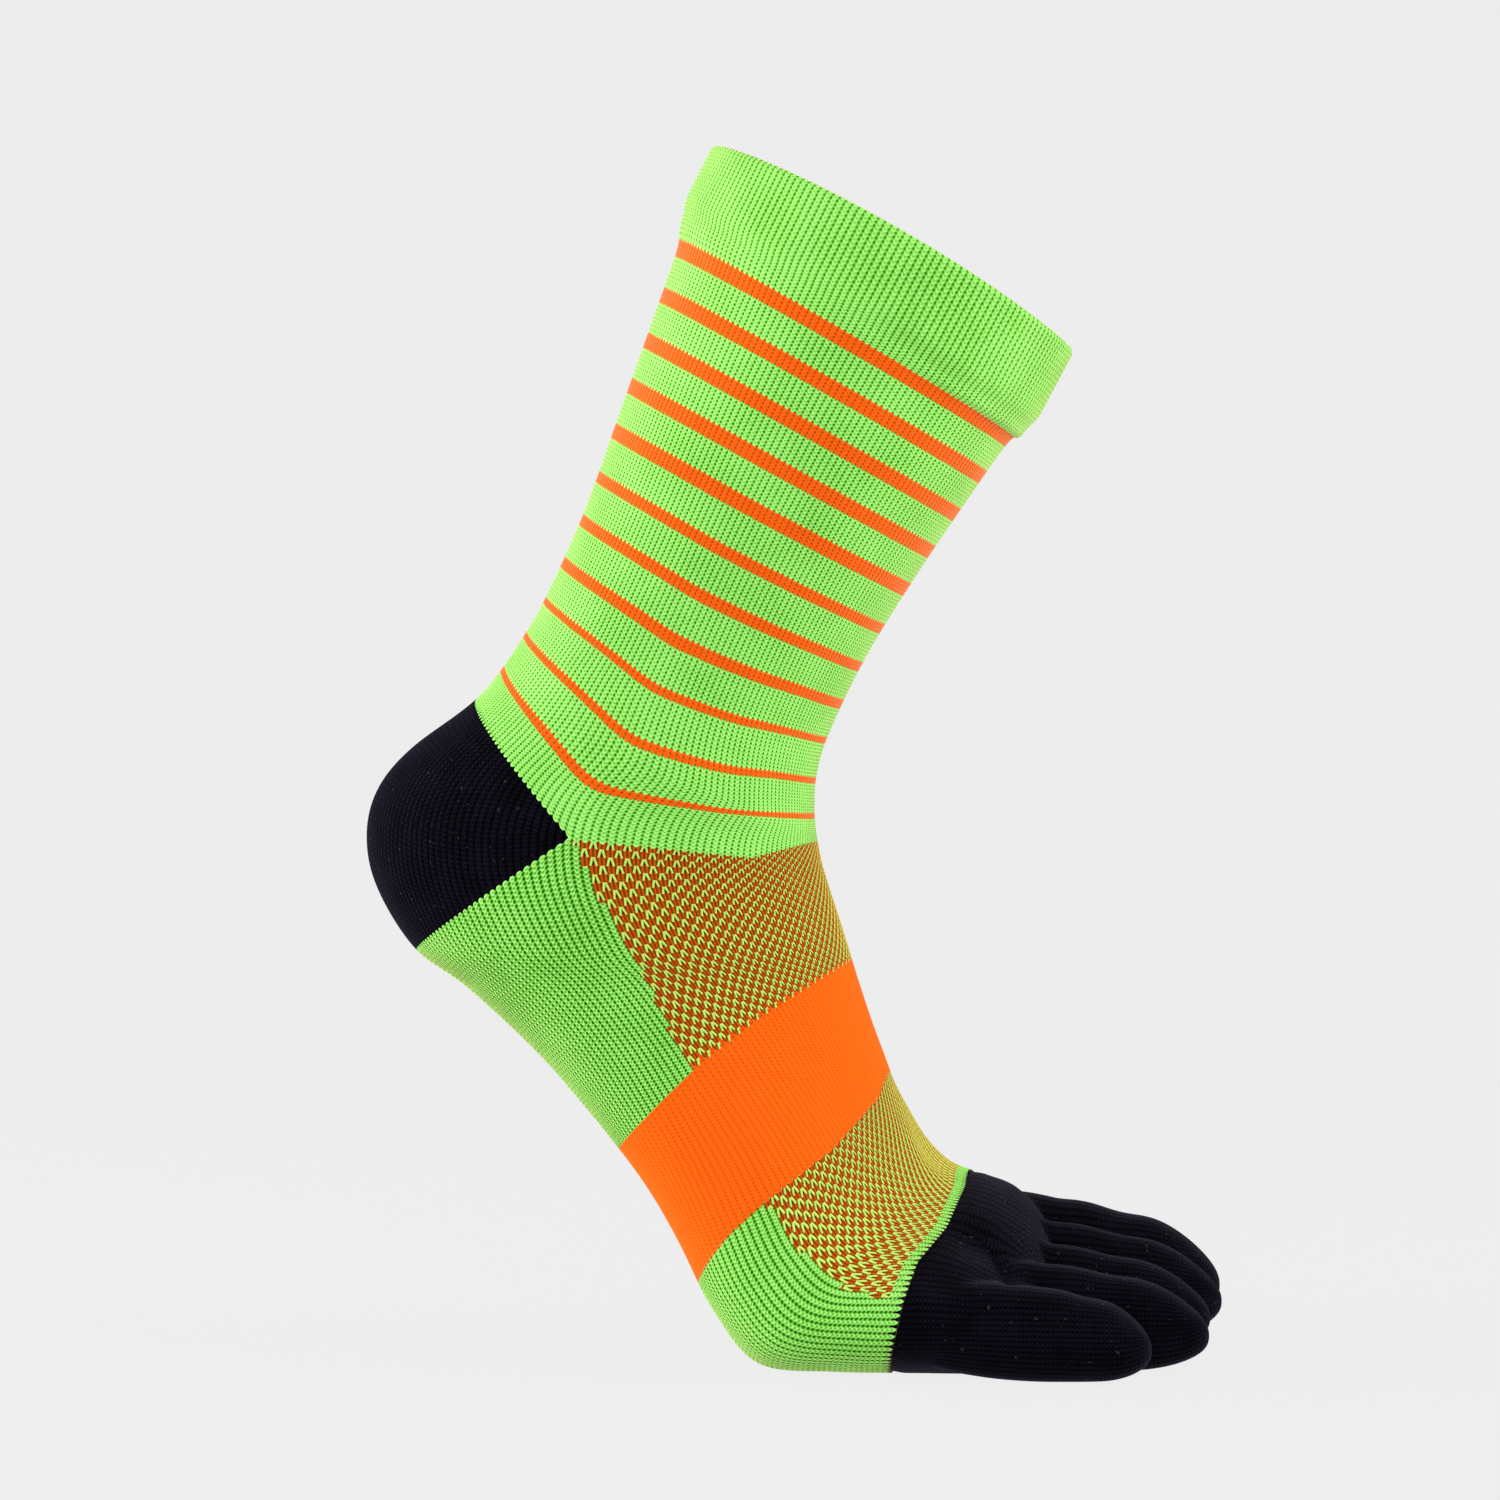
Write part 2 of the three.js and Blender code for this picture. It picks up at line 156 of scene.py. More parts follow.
# Side-view lines between the zones, each point as shares of the sizes.
HEEL_APEX = (-0.226, -0.113)
BAND_CORNER = (0.095, -0.498)
MESH_CORNER = (0.224, -0.709)
TOE_CORNER = (0.466, -0.872)
HEEL_TOP_END = (-1.60, 0.692)
HEEL_UNDER_END = (-1.60, -0.581)
LEG_HEM = (HEEL_APEX, (0.00, -0.124), (0.186, -0.145), (0.283, -0.120), (0.60, -0.04))
LAST_STRIPE = ((-0.90, 0.342), (-0.522, 0.156), (-0.318, 0.050), (-0.195, -0.016), (-0.134, -0.036),
               (0.017, -0.052), (0.136, -0.070), (0.274, -0.082), (0.60, -0.10))
MESH_REAR = ((-0.225, -0.113), (-0.139, -0.208), (-0.003, -0.330), (0.042, -0.416), BAND_CORNER)
BAND_REAR = ((-0.30, -0.74), (-0.097, -0.639), (0.029, -0.561), BAND_CORNER,
             (0.203, -0.415), (0.340, -0.329), (0.60, -0.17))
BAND_FRONT = ((0.05, -1.10), (0.091, -0.857), (0.126, -0.806), (0.162, -0.763), MESH_CORNER,
              (0.331, -0.629), (0.396, -0.556), (0.403, -0.525), (0.50, -0.30))
MESH_FRONT = (MESH_CORNER, (0.287, -0.788), (0.374, -0.851), TOE_CORNER)
TOE_HEM = ((0.430, -1.10), (0.437, -0.994), (0.452, -0.930), TOE_CORNER,
           (0.486, -0.809), (0.527, -0.764), (0.547, -0.711), (0.525, -0.60))

# The knit's grid
FINE = 4                # columns of the surface in a wale
SAMPLES_PER_ROW = 8     # of the tables that spread the wales evenly
TURN_SAMPLES = 1441
LEAST_REACH = 0.001     # keeps the centre line of the skin out of a division
RELIEF = (-0.00011, 0.00007, -0.00003, 0.00007)   # valley, strand, middle of the wale, strand
LEG_COURSES = 140
STRIPES = 11
COURSES_PER_STRIPE = 12
FIRST_STRIPE = 7.4
LAST_STRIPE_COURSE = FIRST_STRIPE + (STRIPES - 1) * COURSES_PER_STRIPE
BEND = 4.5              # how late the courses of the leg leave the straight line for the bent one
FULL_STRIPE = 2.0       # half width of the upper stripes, in courses
THIN_STRIPE = 1.0
THINNING_START = 54.0   # course at which the stripes begin to get thinner
THINNING_RUN = 50.0
FOOT_COURSES = (60, 40, 48)     # rear of the foot, arch band, front of the foot
HEEL_ROWS = 48
SIDE_STRETCH = 0.34     # how much wider the wales are at the sides of the foot
STRETCH_START, STRETCH_RUN = 4, 5   # section rows over which that begins
COURSE_PITCH = 0.00093
CUFF_PITCH = 0.0009
STRIPE_SOFTNESS, BAND_SOFTNESS, HEM_SOFTNESS = 12, 6, 4     # columns that a zone's edge is averaged over
TOE_HEM_AFTER = 18      # section row after which the edge of the black knit is looked for

# The folded welt
CUFF_ROLL = 0.0055      # length over which its lower edge rolls in
RIM_SHARE = 0.48        # radius of the rim as a share of the welt's wall
CUFF_ROWS, RIM_STEPS, INSIDE_ROWS = 20, 9, 8

# Lengths in courses
HEEL_FINGERS, MESH_FINGERS, FRONT_FINGERS = 0.7, 0.8, 0.7
TOE_NOTCHES = 2.2
BAND_NOTCHES = 3.4
GREEN_EDGE = 4.0        # plain green before the black knit

# The yarns' fuzz: a value for each socket of the shader
FUZZ_SOCKETS = ("Roughness", "Specular IOR Level", "Sheen Weight", "Sheen Roughness", "Sheen Tint")
GREEN_FUZZ = (0.90, 0.02, 0.85, 0.38, (1.0, 0.68, 0.40, 1.0))
ORANGE_FUZZ = (0.90, 0.02, 0.45, 0.38, (1.0, 0.50, 0.10, 1.0))
MESH_FUZZ = (0.90, 0.02, 0.40, 0.38, (1.0, 0.75, 0.25, 1.0))
BLACK_FUZZ = (0.95, 0.01, 0.07, 0.36, (0.75, 0.70, 1.0, 1.0))
GREEN_BUMP = (0.0004, 0.7)      # distance and strength
STRAND_SLANT = 0.7              # courses that a strand climbs across half a wale
STRAND_DEPTH = 0.34             # of the furrow between two stitches, as a share of the strand's height
STRAND_ROUND = 0.6              # the lower, the flatter a stitch's top

# Depth of the holes between two wales and in the middle of one, and how much it swells by the course
BETWEEN_DEPTH, BETWEEN_SWELL = 0.58, -0.30
WITHIN_DEPTH, WITHIN_SWELL = 0.20, 0.16

# The open pattern, behind the arch band and before it where there are two values
PAIR_START, PAIR_SPREAD = 0.14, 1.25    # of its two strands from the middle of the wale
PAIR_WIDTH = (0.34, 0.40)
PAIR_WIDENING = 0.0020                  # for each course
PAIR_LENGTH = (0.52, 0.62)              # as a share of the motif
PAIR_EDGE = 0.14                        # height at which a strand's own colour begins
# Place, narrowing and size of the painted shade in the holes
HOLE_PLACE, HOLE_NARROWING, HOLE_SIZE = 0.36, 3.0, 0.40

# Scales of the noise, in waves to the metre
PATCH_NOISE, STITCH_NOISE, YARN_NOISE = 70, 900, 1600

SHARP_FROM = math.radians(75)   # angle between faces from which an edge shows
SHORTEST_HEEL = 0.0002          # columns of the heel's wedge that are shorter are left out
VIEW_MIDDLE = (0.0209, 0.0, 0.00465)
FLOOR_BEND_STEPS = 24


class SockSizes(PropertyGroup):
    """Driving dimensions of the sock."""

    cuff_rise: FloatProperty(name="Cuff rise", description="Ankle up to the calf side of the rim",
                             default=0.145, unit="LENGTH")
    cuff_reach: FloatProperty(name="Cuff reach", description="Ankle forward to the shin side of the rim",
                              default=0.096, unit="LENGTH")
    ankle_height: FloatProperty(name="Ankle height", description="Ankle down to the ground",
                                default=0.1352, unit="LENGTH")
    heel_reach: FloatProperty(name="Heel reach", description="Ankle back to the end of the heel",
                              default=0.0684, unit="LENGTH")
    toe_reach: FloatProperty(name="Toe reach", description="Ankle forward to the longest toe's end",
                             default=0.130, unit="LENGTH")
    leg_width: FloatProperty(name="Leg width", description="Across the leg at the cuff",
                             default=0.088, unit="LENGTH")
    foot_width: FloatProperty(name="Foot width", description="Across the ball of the foot",
                              default=0.092, unit="LENGTH")
    toe_height: FloatProperty(name="Toe height", description="Top of the big toe's root above the ground",
                              default=0.032, unit="LENGTH")
    knit_wall: FloatProperty(name="Knit wall", description="Thickness of the single knit",
                             default=0.0014, unit="LENGTH")
    welt_wall: FloatProperty(name="Welt wall", description="Thickness of the folded welt",
                             default=0.0026, unit="LENGTH")
    welt_proud: FloatProperty(name="Welt proud", description="How far the cuff stands out from the leg",
                              default=0.0010, unit="LENGTH")
    rim_crown: FloatProperty(name="Rim crown", description="Rise of the rim at its two sides",
                             default=0.0020, unit="LENGTH")
    toe_gap: FloatProperty(name="Toe gap", description="Space between neighbouring toes",
                           default=0.0007, unit="LENGTH")


class SockKnit(PropertyGroup):
    """Stitches and yarn colours."""

    wales: IntProperty(name="Wales", description="Columns of stitches round the sock", default=176, min=24)
    row_pitch: FloatProperty(name="Row pitch", description="Length of a row of the surface",
                             default=0.0014, unit="LENGTH")
    toe_pitch: FloatProperty(name="Toe pitch", description="Width of a face on the toes",
                             default=0.0007, unit="LENGTH")
    green: FloatVectorProperty(name="Green yarn", description="Colour of the leg and sole",
                               default=(0.235, 0.68, 0.095), subtype="COLOR", size=3)
    orange: FloatVectorProperty(name="Orange yarn", description="Colour of the stripes and band",
                                default=(0.95, 0.118, 0.003), subtype="COLOR", size=3)
    pale: FloatVectorProperty(name="Mesh strands", description="Colour of the open pattern's strands",
                              default=(0.55, 0.90, 0.12), subtype="COLOR", size=3)
    brown: FloatVectorProperty(name="Mesh ground", description="Colour of the open pattern's ground",
                               default=(0.50, 0.085, 0.003), subtype="COLOR", size=3)
    black: FloatVectorProperty(name="Black yarn", description="Colour of the heel and toes",
                               default=(0.0022, 0.0018, 0.0036), subtype="COLOR", size=3)


class SockStage(PropertyGroup):
    """Camera, floor and lights."""

    distance: FloatProperty(name="Distance", description="Camera to the middle of the view",
                            default=1.0, unit="LENGTH")
    yaw: FloatProperty(name="Yaw", description="Turn of the view from the sock's side",
                       default=math.radians(7), subtype="ANGLE")
    lens: FloatProperty(name="Lens", description="Focal length in millimetres", default=103.2)
    backdrop: FloatProperty(name="Backdrop", description="Grey of the floor and backdrop", default=0.02)
    glow: FloatProperty(name="Glow", description="Light that the backdrop gives by itself", default=0.826)
    ambient: FloatProperty(name="Ambient", description="Strength of the light from all round", default=0.46)
    left_power: FloatProperty(name="Left power", description="Power of the light behind the heel",
                              default=14.0, unit="POWER")
    right_power: FloatProperty(name="Right power", description="Power of the light before the toes",
                               default=10.0, unit="POWER")
    front_power: FloatProperty(name="Front power", description="Power of the front light", default=4.0,
                               unit="POWER")


def side_view(sizes, line):
    """A side-view line in metres from its points as shares."""
    x, z = np.array(line, float).T
    return np.column_stack([
        x * np.where(x < 0, sizes.heel_reach, sizes.toe_reach),
        z * np.where(z < 0, sizes.ankle_height, sizes.cuff_rise),
    ])


def section_rows(sizes):
    """All section rows in metres."""
    rows = []
    for table, reach, width in ((LEG_ROWS, sizes.cuff_reach, sizes.leg_width),
                                (FOOT_ROWS, sizes.toe_reach, sizes.foot_width)):
        for face_x, face_z, back_x, back_z, half, *form in table:
            ends = []
            for x, z in ((face_x, face_z), (back_x, back_z)):
                ends.append(x * (sizes.heel_reach if x < 0 else reach))
                ends.append(z * (sizes.ankle_height if z < 0 else sizes.cuff_rise))
            rows.append([*ends, half * width, *form])
    return np.array(rows)


def through(rows, station):
    """Values of a smooth curve through a table's rows, where station counts rows."""
    padded = np.vstack([2 * rows[0] - rows[1], rows, 2 * rows[-1] - rows[-2]])
    station = np.clip(station, 0, len(rows) - 1)
    index = np.minimum(station.astype(int), len(rows) - 2)
    t = (station - index)[..., None]
    a, b, c, d = (padded[index + k] for k in range(4))
    return 0.5 * (2 * b + (c - a) * t + (2 * a - 5 * b + 4 * c - d) * t ** 2
                  + (3 * b - a - 3 * c + d) * t ** 3)


def signed_power(value, power):
    return np.sign(value) * np.abs(value) ** power


class SockForm:
    """The skin of leg and foot, with its wales spread round every section."""

    def __init__(self, sizes, wales):
        self.sizes = sizes
        self.rows = section_rows(sizes)
        self.last = len(self.rows) - 1
        self.columns = wales * FINE
        self.stations = np.linspace(0, self.last, self.last * SAMPLES_PER_ROW + 1)
        self.angles = self.even_angles()
        columns = np.arange(self.columns)
        self.points = self.at(np.repeat(self.stations[:, None], self.columns, 1), columns)
        steps = np.linalg.norm(np.diff(self.points, axis=0), axis=-1).mean(1)
        self.measure = np.concatenate([[0], np.cumsum(steps)])

    def skin(self, station, angle, inset=0.0):
        """Points of the skin. angle starts at the front, inset moves them into the cloth."""
        station, angle = np.broadcast_arrays(np.asarray(station, float), np.asarray(angle, float))
        row = through(self.rows, station)
        above = np.minimum(station, 0)[..., None]
        row[..., :4] += (self.rows[1, :4] - self.rows[0, :4]) * above
        centre = (row[..., FACE] + row[..., BACK]) / 2
        reach = row[..., FACE] - centre
        length = np.linalg.norm(reach, axis=-1)
        sole, taper, ridge = np.moveaxis(row[..., FORM], -1, 0)
        fullness = np.where(np.cos(angle) < 0, sole, TOP_FULLNESS)
        along = signed_power(np.cos(angle), 2 / fullness)
        across = signed_power(np.sin(angle), 2 / fullness)
        side = centre + reach * (along * (1 - inset / length))[..., None]
        y = (row[..., HALF] - inset) * (across * (1 - taper * along) + ridge * np.maximum(along, 0))
        point = np.stack([side[..., 0], y, side[..., 1]], axis=-1)
        middle = np.stack([centre[..., 0], np.zeros_like(y), centre[..., 1]], axis=-1)
        away = np.maximum(np.linalg.norm(point - middle, axis=-1), LEAST_REACH)
        point += (middle - point) * (self.sunk(point) / away)[..., None]
        point[..., 2] = np.maximum(point[..., 2], inset - self.sizes.ankle_height)
        return point

    def sunk(self, point, dents=DENTS):
        """How far the cloth sinks in at each point, summed over the dents."""
        sizes = self.sizes
        total = np.zeros(point.shape[:-1])
        for x, side, z, long, wide, deep, slope in dents:
            turn = math.radians(slope)
            dx = point[..., 0] - x * sizes.toe_reach
            dy = point[..., 1] - side * sizes.foot_width / 2
            dz = point[..., 2] - z * sizes.ankle_height
            lengthwise = (dx * math.cos(turn) + dz * math.sin(turn)) / (long * sizes.toe_height)
            crosswise = (dz * math.cos(turn) - dx * math.sin(turn)) / (wide * sizes.toe_height)
            sideways = dy / (long * sizes.toe_height)
            total += deep * sizes.toe_height * np.exp(-lengthwise ** 2 - crosswise ** 2 - sideways ** 2)
        return total

    def even_angles(self):
        """For each sampled station, the angle of every column. The foot's sides stretch the wales."""
        turn = np.linspace(0, 2 * np.pi, TURN_SAMPLES)
        half = TURN_SAMPLES // 2
        run = np.linalg.norm(np.diff(self.skin(self.stations[:, None], turn), axis=1), axis=-1)
        stretched = SIDE_STRETCH * np.clip((self.stations - STRETCH_START) / STRETCH_RUN, 0, 1)
        run = run * (1 - stretched[:, None] * np.sin(turn[:-1]) ** 2)
        shares = np.arange(self.columns + 1) / self.columns
        angles = []
        for steps in run:
            outer = np.concatenate([[0], np.cumsum(steps[:half])])
            inner = np.concatenate([[0], np.cumsum(steps[half:])])
            gone = np.concatenate([outer / outer[-1] / 2, 0.5 + inner[1:] / inner[-1] / 2])
            angles.append(np.interp(shares, gone, turn))
        return np.array(angles)

    def at(self, station, column, inset=0.0):
        """Points of the skin at stations, on numbered columns."""
        place = np.clip(station, 0, self.last) * SAMPLES_PER_ROW
        index = np.minimum(place.astype(int), len(self.stations) - 2)
        t = place - index
        column = np.broadcast_to(column, station.shape)
        angle = self.angles[index, column] * (1 - t) + self.angles[index + 1, column] * t
        return self.skin(station, angle, inset)

    def crossing(self, line, steep=False, after=1):
        """The station at which each column crosses a side-view line. A steep line is crossed forward."""
        line = side_view(self.sizes, line)
        x, z = self.points[..., 0], self.points[..., 2]
        before_line = line_x(line, z) - x if steep else z - line_z(line, x)
        before_line[:int(after * SAMPLES_PER_ROW)] = 1
        first = np.argmax(before_line < 0, axis=0)
        column = np.arange(self.columns)
        near, far = before_line[first - 1, column], before_line[first, column]
        return self.stations[first - 1] + near / (near - far) / SAMPLES_PER_ROW

    def heel_edges(self):
        """The stations at which each column enters the heel's wedge and leaves it."""
        start = self.crossing((HEEL_TOP_END, *LEG_HEM))
        return start, np.maximum(self.crossing((HEEL_UNDER_END, *LEG_HEM)), start)

    def measure_at(self, station):
        """Run of the cloth from the rim down to stations, as a mean round the sock."""
        return np.interp(station, self.stations, self.measure)

    def station_at(self, measure):
        return np.interp(measure, self.measure, self.stations)


def line_x(line, z):
    x, height = line[np.argsort(line[:, 1])].T
    return np.interp(z, height, x)


def line_z(line, x):
    return np.interp(x, line[:, 0], line[:, 1])


def softened(values, reach):
    """Values round the sock, averaged over neighbouring columns."""
    shifts = np.arange(-reach, reach + 1)
    weights = np.cos(shifts / (reach + 1) * math.pi / 2) ** 2
    return sum(np.roll(values, shift) * weight for shift, weight in zip(shifts, weights)) / weights.sum()


made_forms = {}


def sock_form(context):
    """The form for the scene's sizes, worked out once."""
    sizes, wales = context.scene.sock_sizes, context.scene.sock_knit.wales
    key = (wales, *(getattr(sizes, name) for name in sizes.__annotations__))
    if key not in made_forms:
        made_forms[key] = SockForm(sizes, wales)
    return made_forms[key]


def new_mesh(name, points, groups, coordinates, normals=None):
    """A mesh from groups of faces. Each group is an array of corners, with wale and course of each."""
    corners = np.concatenate([group.ravel() for group in groups])
    counts = np.concatenate([np.full(len(group), group.shape[1]) for group in groups])
    used, corners = np.unique(corners, return_inverse=True)
    mesh = bpy.data.meshes.new(name)
    mesh.vertices.add(len(used))
    mesh.vertices.foreach_set("co", points[used].astype(np.float32).ravel())
    mesh.loops.add(len(corners))
    mesh.loops.foreach_set("vertex_index", corners.astype(np.int32))
    mesh.polygons.add(len(counts))
    starts = np.concatenate([[0], np.cumsum(counts)[:-1]])
    mesh.polygons.foreach_set("loop_start", starts.astype(np.int32))
    mesh.update(calc_edges=True)
    mesh.polygons.foreach_set("use_smooth", np.ones(len(counts), bool))
    knit = mesh.uv_layers.new(name="knit")
    knit.data.foreach_set("uv", np.concatenate([part.reshape(-1, 2) for part in coordinates]).ravel())
    if normals is None:
        mesh.set_sharp_from_angle(angle=SHARP_FROM)
    else:
        mesh.normals_split_custom_set(np.concatenate([part.reshape(-1, 3) for part in normals]))
    return mesh


def add_piece(name, mesh, material, slot, *nodes):
    """Puts a mesh into the scene in place of the frame's nodes."""
    piece = bpy.data.objects.new(name, mesh)
    bpy.context.scene.collection.objects.link(piece)
    piece.data.materials.append(material)
    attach(piece, "root")
    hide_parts(*nodes)
    return piece


def knit_zone(form, stations, courses, chosen):
    """Faces, points and knit coordinates of the chosen cells of a grid of courses and wales.

    stations and courses are given for each row and fine column. A cell is one wale wide and one
    row long. Its outer face has FINE columns, its inner face one."""
    rows, columns = stations.shape[0], form.columns
    wales = columns // FINE
    relief = np.tile(RELIEF, wales)
    outer = form.at(stations, np.arange(columns), -relief)
    inner = form.at(stations[:, ::FINE], np.arange(0, columns, FINE), form.sizes.knit_wall)
    points = np.concatenate([outer.reshape(-1, 3), inner.reshape(-1, 3)])
    inner_start = rows * columns

    def corner(row, column, layer):
        """Index and knit coordinates of a corner, where column counts fine columns."""
        index = row * columns + column % columns
        place = np.stack([column / FINE, courses[row, column % columns]], axis=-1)
        if layer == "inner":
            index = inner_start + row * wales + (column // FINE) % wales
        return index, place

    def group(cells, *places):
        """One face for each cell. A place is (rows down, columns across, layer)."""
        row, wale = cells
        made = [corner(row + down, wale * FINE + across, layer) for down, across, layer in places]
        return np.stack([m[0] for m in made], 1), np.stack([m[1] for m in made], 1)

    cells = np.nonzero(chosen)
    parts = []
    for k in range(FINE):
        parts.append(group(cells, (0, k, "outer"), (1, k, "outer"),
                           (1, k + 1, "outer"), (0, k + 1, "outer")))
    parts.append(group(cells, (0, 0, "inner"), (0, FINE, "inner"),
                       (1, FINE, "inner"), (1, 0, "inner")))
    above = np.vstack([np.zeros((1, wales), bool), chosen[:-1]])
    below = np.vstack([chosen[1:], np.zeros((1, wales), bool)])
    left, right = np.roll(chosen, 1, axis=1), np.roll(chosen, -1, axis=1)
    edge = range(FINE + 1)
    parts.append(group(np.nonzero(chosen & ~above), *[(0, k, "outer") for k in edge],
                       (0, FINE, "inner"), (0, 0, "inner")))
    parts.append(group(np.nonzero(chosen & ~below), *[(1, k, "outer") for k in reversed(edge)],
                       (1, 0, "inner"), (1, FINE, "inner")))
    parts.append(group(np.nonzero(chosen & ~left), (1, 0, "outer"), (0, 0, "outer"),
                       (0, 0, "inner"), (1, 0, "inner")))
    parts.append(group(np.nonzero(chosen & ~right), (0, FINE, "outer"), (1, FINE, "outer"),
                       (1, FINE, "inner"), (0, FINE, "inner")))
    parts = [part for part in parts if len(part[0])]
    return points, [part[0] for part in parts], [part[1] for part in parts]


def operation(kind):
    """A method that adds a math node of a kind."""
    return lambda amount, *others: amount.finish.math(kind, amount, *others)


class Amount:
    """A number that a material's nodes work out. Arithmetic with it adds further nodes."""

    def __init__(self, finish, socket):
        self.finish = finish
        self.socket = socket

    def __rsub__(self, other):
        return self.finish.math("SUBTRACT", other, self)

    __add__ = operation("ADD")
    __sub__ = operation("SUBTRACT")
    __mul__ = operation("MULTIPLY")
    __truediv__ = operation("DIVIDE")
    __mod__ = operation("MODULO")
    __pow__ = operation("POWER")
    __lt__ = operation("LESS_THAN")
    __gt__ = operation("GREATER_THAN")
    __abs__ = operation("ABSOLUTE")
    floor = operation("FLOOR")
    fraction = operation("FRACT")
    sine = operation("SINE")
    cosine = operation("COSINE")
    at_least = operation("MAXIMUM")


class Finish:
    """A material's nodes, added one after another."""

    def __init__(self, name, fuzz):
        self.material = bpy.data.materials.new(name)
        self.material.use_nodes = True
        self.tree = self.material.node_tree
        self.cloth = self.tree.nodes["Principled BSDF"]
        for socket, value in zip(FUZZ_SOCKETS, fuzz):
            self.cloth.inputs[socket].default_value = value

    def node(self, kind, **settings):
        made = self.tree.nodes.new(kind)
        for key, value in settings.items():
            setattr(made, key, value)
        return made

    def plug(self, socket, value):
        if isinstance(value, Amount):
            value = value.socket
        if isinstance(value, bpy.types.NodeSocket):
            self.tree.links.new(value, socket)
        else:
            socket.default_value = value

    def math(self, kind, *values):
        made = self.node("ShaderNodeMath", operation=kind)
        for socket, value in zip(made.inputs, values):
            self.plug(socket, value)
        return Amount(self, made.outputs[0])

    def mix(self, amount, first, second):
        made = self.node("ShaderNodeMix", data_type="RGBA")
        self.plug(made.inputs[0], amount)
        self.plug(made.inputs[6], first)
        self.plug(made.inputs[7], second)
        return made.outputs[2]

    def ramp(self, amount, *stops):
        """Colours by amount. A stop is (place, colour)."""
        made = self.node("ShaderNodeValToRGB")
        while len(made.color_ramp.elements) < len(stops):
            made.color_ramp.elements.new(1.0)
        for element, (place, colour) in zip(made.color_ramp.elements, stops):
            element.position = place
            element.color = (*colour, 1)
        self.plug(made.inputs[0], amount)
        return made.outputs[0]

    def knit_place(self):
        """Wale and course of a surface point."""
        made = self.node("ShaderNodeSeparateXYZ")
        self.plug(made.inputs[0], self.node("ShaderNodeUVMap", uv_map="knit").outputs[0])
        return Amount(self, made.outputs[0]), Amount(self, made.outputs[1])

    def noise(self, scale, detail=2.0):
        made = self.node("ShaderNodeTexNoise")
        made.inputs["Scale"].default_value = scale
        made.inputs["Detail"].default_value = detail
        self.plug(made.inputs["Vector"], self.node("ShaderNodeTexCoord").outputs["Object"])
        return Amount(self, made.outputs[0])

    def swing(self, scale, size):
        """Noise that goes up and down by half its size."""
        return (self.noise(scale) - 0.5) * size

    def bump(self, height, distance, strength):
        made = self.node("ShaderNodeBump")
        made.inputs["Distance"].default_value = distance
        made.inputs["Strength"].default_value = strength
        self.plug(made.inputs["Height"], height)
        self.plug(self.cloth.inputs["Normal"], made.outputs[0])

    def colour(self, value):
        self.plug(self.cloth.inputs["Base Color"], value)


def tone(colour, factor, lift=0.0):
    """A yarn colour made darker or lighter."""
    return tuple(min(1.0, channel * factor + lift) for channel in colour)


class Stitches:
    """Where a point lies in its wale, and the height of plain knit there.

    across is 0 in the middle of a wale and 1 between two wales. Each wale has two strands.
    openness deepens the holes, and beat sets how much they swell and narrow from course to course."""

    def __init__(self, finish, uneven=0.35, openness=1.0, beat=0.8):
        self.wale, self.course = finish.knit_place()
        self.across = abs(self.wale.fraction() - 0.5) * 2.0
        self.uneven_course = self.course + finish.swing(STITCH_NOISE, uneven)
        middle = (self.across * math.pi).cosine()
        self.rib = 1.0 - abs(middle)
        loop = (self.uneven_course * (2 * math.pi)).cosine()
        valley = middle * -0.5 + 0.5
        crest = 1.0 - valley
        between = valley * valley * (loop * (BETWEEN_SWELL * beat) + BETWEEN_DEPTH)
        within = crest * crest * (loop * (WITHIN_SWELL * beat) + WITHIN_DEPTH)
        run = self.across * STRAND_SLANT + self.uneven_course
        top = (run.fraction() * math.pi).sine() ** STRAND_ROUND
        self.strand = top * STRAND_DEPTH + (1 - STRAND_DEPTH)
        self.height = (1.0 - (between + within) * openness) * self.strand
        self.row = run.floor()


def shaded(finish, stitches, patches=0.22):
    """Stitch height with soft patches that make the yarn's tone uneven. The colour ramps paint shade and
    highlight from the height.
    """
    return stitches.height + (finish.swing(PATCH_NOISE, patches) + finish.swing(YARN_NOISE, patches))


def green_painted_shading(finish, look, amount):
    """Green by stitch height, from painted shade in the holes between strands, lit through the yarn, to the
    strands' crests, lightened by a painted highlight.
    """
    red, green, blue = look.green
    deep, shallow = (red * 0.06, green * 0.24, 0), (red * 0.42, green * 0.58, blue * 0.22)
    return finish.ramp(amount, (0.18, deep), (0.42, shallow), (0.64, look.green),
                       (0.90, tone(look.green, 1.40, 0.085)))


# Orange by stitch height, from painted shade in the holes between strands to a painted highlight on the
# crests.
def orange_painted_shading(finish, look, amount):
    return finish.ramp(amount, (0.16, tone(look.orange, 0.42)), (0.42, tone(look.orange, 0.80)),
                       (0.66, tone(look.orange, 0.98)), (0.92, tone(look.orange, 1.08, 0.006)))


# Black by stitch height, from painted shade in the holes between strands to a painted highlight on the rib
# crests.
def black_painted_shading(finish, look, amount):
    return finish.ramp(amount, (0.15, tone(look.black, 0.15)), (0.60, look.black),
                       (0.95, tone(look.black, 4.0)))


def fingers(across, distance, length):
    """1 in the round ends of the wales that reach over an edge, where distance is from the edge."""
    return distance < (1.0 - across * across) * length


def notches(across, distance, length):
    """1 between the round ends of the wales, where distance is from the edge that they reach."""
    return distance < across * across * length


